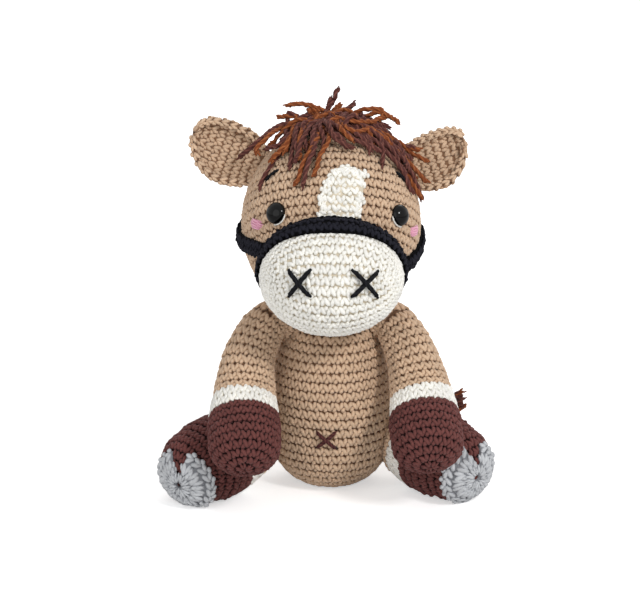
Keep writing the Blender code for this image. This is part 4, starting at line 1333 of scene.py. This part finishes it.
leg_ends = {}
seed = 30
for label, side in (("left", 1), ("right", -1)):
    for kind in ("arm", "leg"):
        if kind == "arm":
            surface, share_at, line, run = limb_shape(side, course=ARM_COURSE[label], **ARM)
            surface = pressed_shoulder(surface)
        else:
            end = (LEG_END_SIDE[label], -32.0 * MM, LEG_END_RADIUS - SEAT_DEPTH)
            surface, share_at, line, run = limb_shape(side, end=end, **LEG)
            leg_ends[label] = frame_towards(line[-1], (line[-1] - line[-2]).normalized())
        hoof_u = share_at(run[-1] - HOOF[kind])
        cuff_u = share_at(run[-1] - HOOF[kind] - CUFF[kind])
        seam = next(r for p, r in zip(line, run) if not inside_body(p))
        root_u = share_at(max(seam - SEWN_IN, 0))
        for part, span, yarn, slot, rows in (
            ("hoof", (0.0, hoof_u), hoof_yarn, "brown_yarn", None),
            ("cuff", (hoof_u, cuff_u), cream_yarn, "cream_yarn", CUFF_ROUNDS),
            ("sleeve", (cuff_u, root_u), tan_yarn, "tan_yarn", None),
        ):
            seed += 1
            found = crochet_points(surface, span, STITCH_WIDTH, LIMB_ROW, rows, on_free_limb)
            if part == "cuff":
                found = [(*stitch[:4], stitch[4] * CUFF_OVERLAP) for stitch in found]
            nodes = [f"{label}_{kind}_{part}"]
            if part == "sleeve":
                nodes.append(f"{label}_{kind}_stuffing")
            piece = crochet(
                f"{label}_{kind}_{part}_crochet", yarn, found,
                core_mesh(surface, span, rings=14, sides=36), seed, floor=FLOOR_CLEAR,
            )
            dress(piece, f"{label}_{kind}", slot, *nodes)


# ---- Soles
# Horseshoes of grey yarn on the round ends of the legs: a ring of long stitches round a
# small hole, open in a narrow notch at the top.

# Gap colour painted shade, crest colour painted light, as for every yarn
SOLE_GREY = ("#888A8F", "#A8AAAF", "#C4C6C9")
SOLE_THICKNESS = 2.2 * MM
SOLE_NOTCH = math.radians(38)
SOLE_CURVE = 18.6 * MM
SOLE_START = math.pi / 2 + SOLE_NOTCH / 2
SOLE_SWEEP = math.tau - SOLE_NOTCH
SOLE_STEPS = 40
SOLE_FACING = {
    "right": (math.radians(14), math.radians(8)),
    "left": (math.radians(-9), math.radians(2)),
}
# The felted ring behind the stitches, painted in the grey yarn's gap colour as shade: radius and
# height of its section, in millimetres
SOLE_SECTION = ((1.5, 0.3), (1.6, 1.7), (6, 2.1), (11, 2.1), (15.6, 1.6), (16.1, 0.3))
# Rings of long stitches: radius, count, share of width and of length
SOLE_RINGS = ((4.9 * MM, 10, 0.64, 1.25), (9.9 * MM, 14, 1.08, 1.6))
SOLE_LOBES = 19
SOLE_LOBE_RADIUS = 14.6 * MM

sole_yarn = cotton_yarn("grey_cotton_yarn", SOLE_GREY)
for label in ("left", "right"):

    def on_cap(radius, turn, height, place=leg_ends[label], facing=SOLE_FACING[label]):
        """A place on the round end of the leg, a radius from the sole's middle."""
        angle = math.asin(min(radius / SOLE_CURVE, 0.99))
        ring = math.sin(angle)
        way = Vector((ring * math.cos(turn), ring * math.sin(turn), math.cos(angle)))
        way = Matrix.Rotation(facing[1], 3, "X") @ Matrix.Rotation(facing[0], 3, "Y") @ way
        sizes = (LEG_END_RADIUS, LEG_END_RADIUS, LEG_TIP)
        return off_ellipsoid(place, sizes, way / math.sqrt(out_share(way, sizes)), height)

    def stitch_on_cap(radius, turn, rise, fit, reach, onward=0.5 * MM, aside=0.0):
        """A stitch on the sole that points outwards, or aside round it."""
        place, out = on_cap(radius, turn, SOLE_THICKNESS * rise)
        beside, _ = on_cap(radius + onward, turn + aside, SOLE_THICKNESS * rise)
        return place, out, (beside - place).normalized(), fit, reach

    shell = skin([
        [on_cap(r * MM, SOLE_START + SOLE_SWEEP * step / SOLE_STEPS, h * MM)[0]
         for r, h in SOLE_SECTION]
        for step in range(SOLE_STEPS + 1)
    ])
    posts = [
        stitch_on_cap(radius, SOLE_START + SOLE_SWEEP * (post + 0.5) / count, 1, fit, reach)
        for radius, count, fit, reach in SOLE_RINGS
        for post in range(count)
    ]
    for lobe in range(SOLE_LOBES):
        turn = SOLE_START + SOLE_SWEEP * (lobe + 0.5) / SOLE_LOBES
        posts.append(stitch_on_cap(SOLE_LOBE_RADIUS, turn, 0.9, 1.1, 1.15, 0, 0.03))
    for turn in (SOLE_START, SOLE_START + SOLE_SWEEP):
        for radius in (5.0 * MM, 10.0 * MM):
            posts.append(stitch_on_cap(radius, turn, 0.7, 0.6, 1.1))
    sole = crochet(
        f"{label}_sole_crochet", sole_yarn, posts, shell, 107, row=4.9 * MM, width=4.7 * MM,
        relief=2.3 * MM, sink=0.4 * MM, uneven=0.2, floor=FLOOR_CLEAR,
    )
    dress(sole, f"{label}_leg", "grey_yarn", f"{label}_leg_sole")


# ---- Mane
# Cut lengths of plied yarn in dark brown and rust, knotted on the crown and left loose: they
# fall to both sides and over the forehead, with a short tuft that stands up.

# In both dyes the gap colour is painted shade and the crest colour painted light
MANE_YARN = ("#331817", "#623A35", "#86564B")
MANE_RUST = ("#4A2413", "#87492A", "#A9683E")
STRAND_RADIUS = 1.4 * MM
STRAND_JITTER = 0.4 * MM
FRAY_PLIES = 5
FRAY_SPLAY = 0.6
FRAY_SHARE = 0.42
CROWN = Vector((2 * MM, -15 * MM, 50 * MM))
CROWN_STRANDS = 84
CROWN_TONES = (0.05, 0.15, 0.25, 0.3, 0.8, 0.95)
DARK, RUST = 0.2, 0.9

# The strands that show from the front: each one's tone, then its course as picture places, with
# how far each place stands off the head in millimetres
FRONT_STRANDS = (
    (RUST, (328, 112, 5), (318, 108, 6), (304, 104, 7), (289, 105, 7)),
    (DARK, (325, 118, 4), (329, 108, 6), (334, 99, 8), (337, 90, 9)),
    (DARK, (323, 118, 4), (328, 109, 6), (330, 99, 8)),
    (RUST, (331, 114, 5), (339, 105, 7)),
    (DARK, (335, 119, 4), (345, 110, 7), (354, 104, 8)),
    (DARK, (336, 121, 5), (342, 116, 7), (349, 113, 8)),
    (
        RUST, (340, 121, 4), (352, 114, 7), (366, 109, 8), (378, 109, 7), (383, 114, 5),
        (379, 121, 3),
    ),
    (RUST, (362, 117, 4), (380, 112, 7), (390, 117, 7), (398, 122, 7)),
    (RUST, (340, 119, 6), (352, 121, 8), (370, 122, 8), (383, 117, 7)),
    (RUST, (304, 122, 3), (294, 116, 6), (280, 117, 7)),
    (RUST, (312, 114, 4), (309, 109, 6), (319, 112, 7)),
    (DARK, (312, 122, 3), (288, 123, 7), (270, 131, 9), (256, 143, 11), (240, 156, 12)),
    (RUST, (306, 124, 3), (284, 128, 6), (270, 135, 9), (258, 147, 10), (257, 152, 10)),
    (DARK, (300, 126, 3), (287, 138, 5), (276, 146, 5), (266, 149, 6)),
    (RUST, (300, 128, 3), (288, 141, 5), (279, 152, 4), (271, 160, 4)),
    (DARK, (306, 122, 4), (290, 113, 9), (287, 124, 7), (286, 134, 5)),
    (RUST, (308, 122, 4), (296, 124, 6), (290, 138, 5), (286, 151, 3)),
    (DARK, (310, 120, 4), (298, 126, 6), (293, 146, 4), (290, 166, 2)),
    (DARK, (311, 120, 5), (303, 124, 7), (304, 135, 5), (306, 146, 4)),
    (RUST, (318, 124, 4), (317, 139, 5), (305, 159, 4), (296, 184, 2)),
    (DARK, (319, 124, 5), (316, 142, 5), (309, 162, 4), (303, 185, 2)),
    (RUST, (328, 126, 4), (329, 140, 5), (321, 154, 4), (315, 174, 2)),
    (DARK, (320, 121, 6), (321, 130, 6), (324, 139, 4), (324, 148, 3)),
    (DARK, (323, 119, 6), (329, 126, 8), (336, 139, 6), (352, 147, 4)),
    (RUST, (333, 120, 5), (341, 129, 7), (346, 135, 6), (353, 140, 5)),
    (RUST, (338, 122, 5), (347, 128, 7), (358, 132, 6), (369, 128, 7)),
    (DARK, (340, 120, 5), (366, 127, 7), (381, 140, 6), (383, 164, 2)),
    (DARK, (346, 126, 4), (366, 138, 5), (376, 149, 4), (384, 152, 3)),
    (DARK, (345, 118, 6), (370, 121, 8), (388, 132, 7), (397, 144, 6)),
    (DARK, (350, 120, 5), (378, 127, 7), (397, 142, 6), (416, 149, 6)),
    (RUST, (352, 122, 4), (385, 134, 6), (404, 149, 6), (425, 160, 6)),
    (RUST, (360, 124, 4), (392, 138, 6), (406, 147, 7), (418, 150, 7)),
    (DARK, (366, 130, 4), (390, 148, 5), (400, 166, 3), (412, 191, 2)),
    (DARK, (368, 128, 5), (394, 149, 5), (409, 168, 4), (421, 196, 3)),
    (RUST, (372, 130, 4), (396, 150, 4), (410, 164, 5), (426, 181, 5)),
    (DARK, (372, 126, 5), (398, 144, 6), (404, 158, 5), (406, 166, 4)),
    (DARK, (352, 128, 4), (376, 142, 5), (392, 158, 4), (404, 172, 3)),
    (DARK, (330, 122, 6), (344, 132, 6), (356, 140, 5), (372, 147, 4)),
    (DARK, (315, 120, 5), (308, 130, 6), (300, 146, 5), (296, 160, 3)),
    (DARK, (306, 118, 5), (297, 130, 6), (296, 143, 5), (298, 152, 3)),
    (RUST, (311, 122, 5), (301, 134, 6), (300, 148, 4), (299, 157, 3)),
    (DARK, (302, 120, 4), (292, 132, 5), (285, 141, 4), (282, 150, 3)),
    (DARK, (318, 122, 6), (313, 134, 6), (312, 146, 5), (313, 153, 3)),
    (DARK, (326, 121, 6), (332, 132, 7), (341, 138, 6), (346, 146, 3)),
    (DARK, (340, 122, 6), (354, 132, 6), (365, 141, 5), (370, 150, 3)),
    (DARK, (344, 118, 6), (364, 126, 7), (381, 137, 6), (392, 152, 4)),
    (RUST, (348, 120, 6), (372, 130, 7), (388, 141, 6), (399, 155, 4)),
    (DARK, (356, 122, 5), (380, 133, 6), (396, 147, 6), (410, 158, 4)),
    (DARK, (345, 114, 6), (360, 116, 7), (374, 121, 7), (388, 127, 5)),
    (DARK, (318, 116, 6), (308, 115, 7), (300, 119, 7), (295, 128, 5)),
)


def mane_yarn_material(name):
    """Plied cotton in two dyes: the strand's own tone picks dark brown or rust."""
    made = cotton_yarn(name, MANE_YARN, 0.88, 0.04, 0.12)
    tree = made.node_tree
    tint = next(n for n in tree.nodes if n.type == "HUE_SAT")
    ramp = next(n for n in tree.nodes if n.type == "VALTORGB")
    shade = next(n for n in tree.nodes if n.type == "ATTRIBUTE" and n.attribute_name == "shade")
    painted_shade_and_ply = ramp.inputs["Fac"].links[0].from_socket
    rust = painted_shade_ramp(add(tree, "ShaderNodeValToRGB", {"Fac": painted_shade_and_ply}), MANE_RUST)
    pick = add(
        tree, "ShaderNodeMapRange",
        {"Value": shade.outputs["Fac"], "From Min": 0.5, "From Max": 0.7},
        interpolation_type="SMOOTHSTEP",
    )
    mixed = add(tree, "ShaderNodeMixRGB", {"Fac": pick, "Color1": ramp, "Color2": rust})
    feed(tree, tint, {"Color": mixed})
    return made


def seen_at(across, down, rise):
    """The place seen at a place in the picture, a height off the head or nearest to that."""
    ray = rightward * (across - PICTURE_MIDDLE[0]) - upward * (down - PICTURE_MIDDLE[1])
    ray = (ray - to_camera * FOCUS).normalized()
    turned = HEAD_PLACE.inverted()
    sizes = [size + rise for size in HEAD_SIZES]
    reach = crossing(turned @ camera.location, turned.to_3x3() @ ray, sizes, -1)
    return camera.location + ray * reach


def clear_of_head(point, clear):
    """The point, moved out of the head where it lies in it."""
    local = HEAD_PLACE.inverted() @ point
    scale = math.sqrt(out_share(local, HEAD_SIZES, clear))
    return HEAD_PLACE @ (local / scale) if scale < 1 else point


def drawn():
    """A vector of three random numbers, each between -1 and 1."""
    return Vector([draw.uniform(-1, 1) for _ in range(3)])


def strand(places, tone, steps=16, clear=None):
    """One strand through its places, with its plies frayed at the cut end."""
    line = []
    for step in range(steps + 1):
        p = through(places, step / steps)
        p += Vector([draw.uniform(-1, 1) * STRAND_JITTER for _ in range(3)])
        line.append(clear_of_head(p, clear) if clear and step > 1 else p)
    thick = [0.5, 0.9] + [draw.uniform(0.92, 1.06) for _ in range(steps - 2)] + [1.1]
    found = [(line, thick, tone)]
    heading = (line[-1] - line[-3]).normalized()
    for _ in range(FRAY_PLIES):
        splay = drawn() * FRAY_SPLAY
        reach = draw.uniform(0.9, 2.2) * MM
        root = line[-1] - heading * 0.8 * MM + splay * 0.9 * MM
        tip = line[-1] + (heading + splay) * reach
        middle = (root + tip) / 2 + splay * 0.4 * MM
        if clear:
            tip, middle = clear_of_head(tip, clear), clear_of_head(middle, clear)
        found.append(([root, middle, tip], [FRAY_SHARE, FRAY_SHARE, FRAY_SHARE * 0.6], tone))
    return found


mane_yarn = mane_yarn_material("brown_and_rust_yarn")
draw = random.Random(7)
mane_strands = []
for tone, *course in FRONT_STRANDS:
    places = [seen_at(across, down, rise * MM) for across, down, rise in course]
    mane_strands += strand(places, tone + draw.uniform(-0.1, 0.1), clear=STRAND_RADIUS)
for index in range(CROWN_STRANDS):
    turn = math.tau * index / CROWN_STRANDS + draw.uniform(-0.06, 0.06)
    across, behind = math.cos(turn), math.sin(turn)
    start = [draw.uniform(*span) for span in ((-13, 15), (-6, 9), (-2, 1))]
    root = CROWN + Vector(start) * MM
    reach = draw.uniform(0.55, 1.0) * MM
    end = root + Vector((34 * reach * across, (34 if behind > 0 else 15) * reach * behind, 0))
    flat = (end.x / HEAD_RADIUS) ** 2 + (end.y / HEAD_RADIUS) ** 2
    end.z = HEAD_HALF_HEIGHT * math.sqrt(max(0.05, 1 - flat)) + draw.uniform(1.5, 7) * MM
    bow = [draw.uniform(*span) for span in ((-2, 2), (-2, 2), (3, 8))]
    middle = root.lerp(end, 0.5) + Vector(bow) * MM
    places = [HEAD_PLACE @ p for p in (root, middle, end)]
    mane_strands += strand(places, draw.choice(CROWN_TONES), steps=12, clear=STRAND_RADIUS)
yarn_piece(
    "mane_strands", ("head", "mane_yarn", "mane"), mane_strands, STRAND_RADIUS, mane_yarn,
    turns=70, depth=0.09,
)


# ---- Tail
# A tassel of the same strands, laid round the left hip. Three turns of black yarn tie it
# at its root.

TAIL_ROOT = Vector((0, 36.9 * MM, 30.0 * MM))
TAIL_SIZE = (80.5 * MM, 20.0 * MM, 30.0 * MM)
TAIL_COURSE = (
    (0, 0, 0), (0.06, 0.55, -0.10), (0.36, 1, -0.55), (0.72, 0.92, -0.45), (1, 0.52, 0.02),
)
TAIL_RADIUS = 8.5 * MM
TAIL_RADIUS_SHARES = ((0, 0.42), (0.15, 0.50), (0.40, 1), (0.75, 0.95), (1, 0.66))
TAIL_COUNT = 40
TAIL_TONES = (0.1, 0.2, 0.3, 0.8, 0.95)
SUNFLOWER_TURN = 2.399963
TIE_PLACE, TIE_STEP = 2 / 14, 1 / 14
TIE_RADIUS = 5.0 * MM
TIE_TURNS = 3
TIE_HEIGHT = 3 * MM
TIE_STEPS = 96
tail_places = [
    TAIL_ROOT + Vector([size * share for size, share in zip(TAIL_SIZE, shares)])
    for shares in TAIL_COURSE
]


def tail_heading(t, step):
    onward, back = min(t + step, 1), max(t - step, 0)
    return (through(tail_places, onward) - through(tail_places, back)).normalized()


tail_strands = []
for index in range(TAIL_COUNT):
    turn = index * SUNFLOWER_TURN
    spread = math.sqrt((index + 0.5) / TAIL_COUNT)
    stop = draw.uniform(0.86, 1.0)
    wander, sway = draw.uniform(0.5, 1.6), draw.uniform(0, math.tau)
    places = []
    for step in range(9):
        t = step / 8 * stop
        heading = tail_heading(t, 0.02)
        x = Vector((0, 0, 1)).cross(heading).normalized()
        y = heading.cross(x)
        wide = max(TAIL_RADIUS * between(TAIL_RADIUS_SHARES, t) - 1.0 * MM, 1.0 * MM) * spread
        angle = turn + t * 1.2 + 0.35 * math.sin(sway + t * 9)
        p = through(tail_places, t) + x * (wide * math.cos(angle)) + y * (wide * math.sin(angle))
        p += Vector((0, 0, wander * MM * t * math.sin(sway + t * 7)))
        p.z = max(p.z, STRAND_RADIUS + 0.6 * MM)
        places.append(p)
    tail_strands += strand(places, draw.choice(TAIL_TONES), steps=24)
yarn_piece(
    "tail_strands", ("tail", "mane_yarn", "tail_tassel"), tail_strands, STRAND_RADIUS * 0.9,
    mane_yarn, turns=70, depth=0.09,
)
tie_place = frame_towards(through(tail_places, TIE_PLACE), tail_heading(TIE_PLACE, TIE_STEP))
tie_line = []
for step in range(TIE_STEPS + 1):
    t = step / TIE_STEPS
    a = math.tau * TIE_TURNS * t
    ring = Vector((TIE_RADIUS * math.cos(a), TIE_RADIUS * math.sin(a), (t - 0.5) * TIE_HEIGHT))
    tie_line.append(tie_place @ ring)
tie_thickness = [0.6] + [1.0] * (TIE_STEPS - 1) + [0.6]
yarn_piece(
    "tail_tie_winding", ("tail", "black_yarn", "tail_tie"), [(tie_line, tie_thickness, 0.4)],
    0.8 * MM, embroidery_black,
)


# ---- Table and light
# A white paper sweep that the toy sits on, in soft daylight from three round lamps and
# from the sky.

SWEEP_REACH = 6
WHITE = (1, 1, 1, 1)


def white_paper(name):
    """Matt white card that also glows for the camera, more the farther from the toy: painted light
    that reads as plain white and keeps the toy's soft shadow.
    """
    made, tree = material_tree(name)
    tree.nodes.clear()
    place = add(tree, "ShaderNodeTexCoord").outputs["Object"]
    grain = add(tree, "ShaderNodeTexNoise", {"Vector": place, "Scale": 300, "Detail": 2})
    tone = add(
        tree, "ShaderNodeMixRGB",
        {"Fac": grain, "Color1": (0.86, 0.86, 0.86, 1), "Color2": (0.9, 0.9, 0.9, 1)},
    )
    paper = add(tree, "ShaderNodeBsdfDiffuse", {"Color": tone})
    # Painted light for the camera: the glow is weaker near the toy and stronger far off
    far = add(tree, "ShaderNodeVectorMath", {0: place}, operation="LENGTH")
    spread = add(tree, "ShaderNodeMapRange", {
        "Value": far.outputs["Value"], "From Min": 0.15, "From Max": 0.9,
        "To Min": 0.52, "To Max": 0.82,
    })
    glow = add(tree, "ShaderNodeEmission", {"Color": WHITE, "Strength": spread})
    both = add(tree, "ShaderNodeAddShader", {0: paper, 1: glow})
    path = add(tree, "ShaderNodeLightPath")
    chosen = add(
        tree, "ShaderNodeMixShader", {0: path.outputs["Is Camera Ray"], 1: paper, 2: both}
    )
    add(tree, "ShaderNodeOutputMaterial", {"Surface": chosen})
    return made


sweep = bpy.data.meshes.new("paper_sweep")
corners = [(SWEEP_REACH * x, SWEEP_REACH * y, 0) for x, y in ((-1, -1), (1, -1), (1, 1), (-1, 1))]
sweep.from_pydata(corners, [], [(0, 1, 2, 3)])
sweep.materials.append(white_paper("white_paper"))
show("paper_sweep", sweep)

world = bpy.data.worlds.new("daylight")
bpy.context.scene.world = world
world.use_nodes = True
sky = world.node_tree
sky.nodes.clear()
path = add(sky, "ShaderNodeLightPath")
seen = path.outputs["Is Camera Ray"]
for way in ("Is Glossy Ray", "Is Transmission Ray"):
    seen = add(sky, "ShaderNodeMath", {0: seen, 1: path.outputs[way]}, operation="MAXIMUM")
ambient, plain = [
    add(sky, "ShaderNodeBackground", {"Color": WHITE, "Strength": strength})
    for strength in (0.5, 1.0)
]
either = add(sky, "ShaderNodeMixShader", {0: seen, 1: ambient, 2: plain})
add(sky, "ShaderNodeOutputWorld", {"Surface": either})

# Each lamp's place, what it points at, its width in metres and its watts
for name, place, aim, size, power in (
    ("key_lamp", (0.7, -0.95, 0.95), (0, 0, 0.1), 0.3, 8.8),
    ("fill_lamp", (-0.8, -1.1, 0.5), (0, 0, 0.08), 1.5, 5.2),
    ("back_lamp", (0.3, 0.9, 0.9), (0, 0, 0.12), 0.7, 4.0),
):
    light = bpy.data.lights.new(name, "AREA")
    light.shape = "DISK"
    light.size = size
    light.energy = power
    made = show(name, light)
    made.location = place
    made.rotation_mode = "QUATERNION"
    made.rotation_quaternion = (Vector(aim) - Vector(place)).to_track_quat("-Z", "Y")

bpy.context.scene.view_settings.view_transform = "Standard"
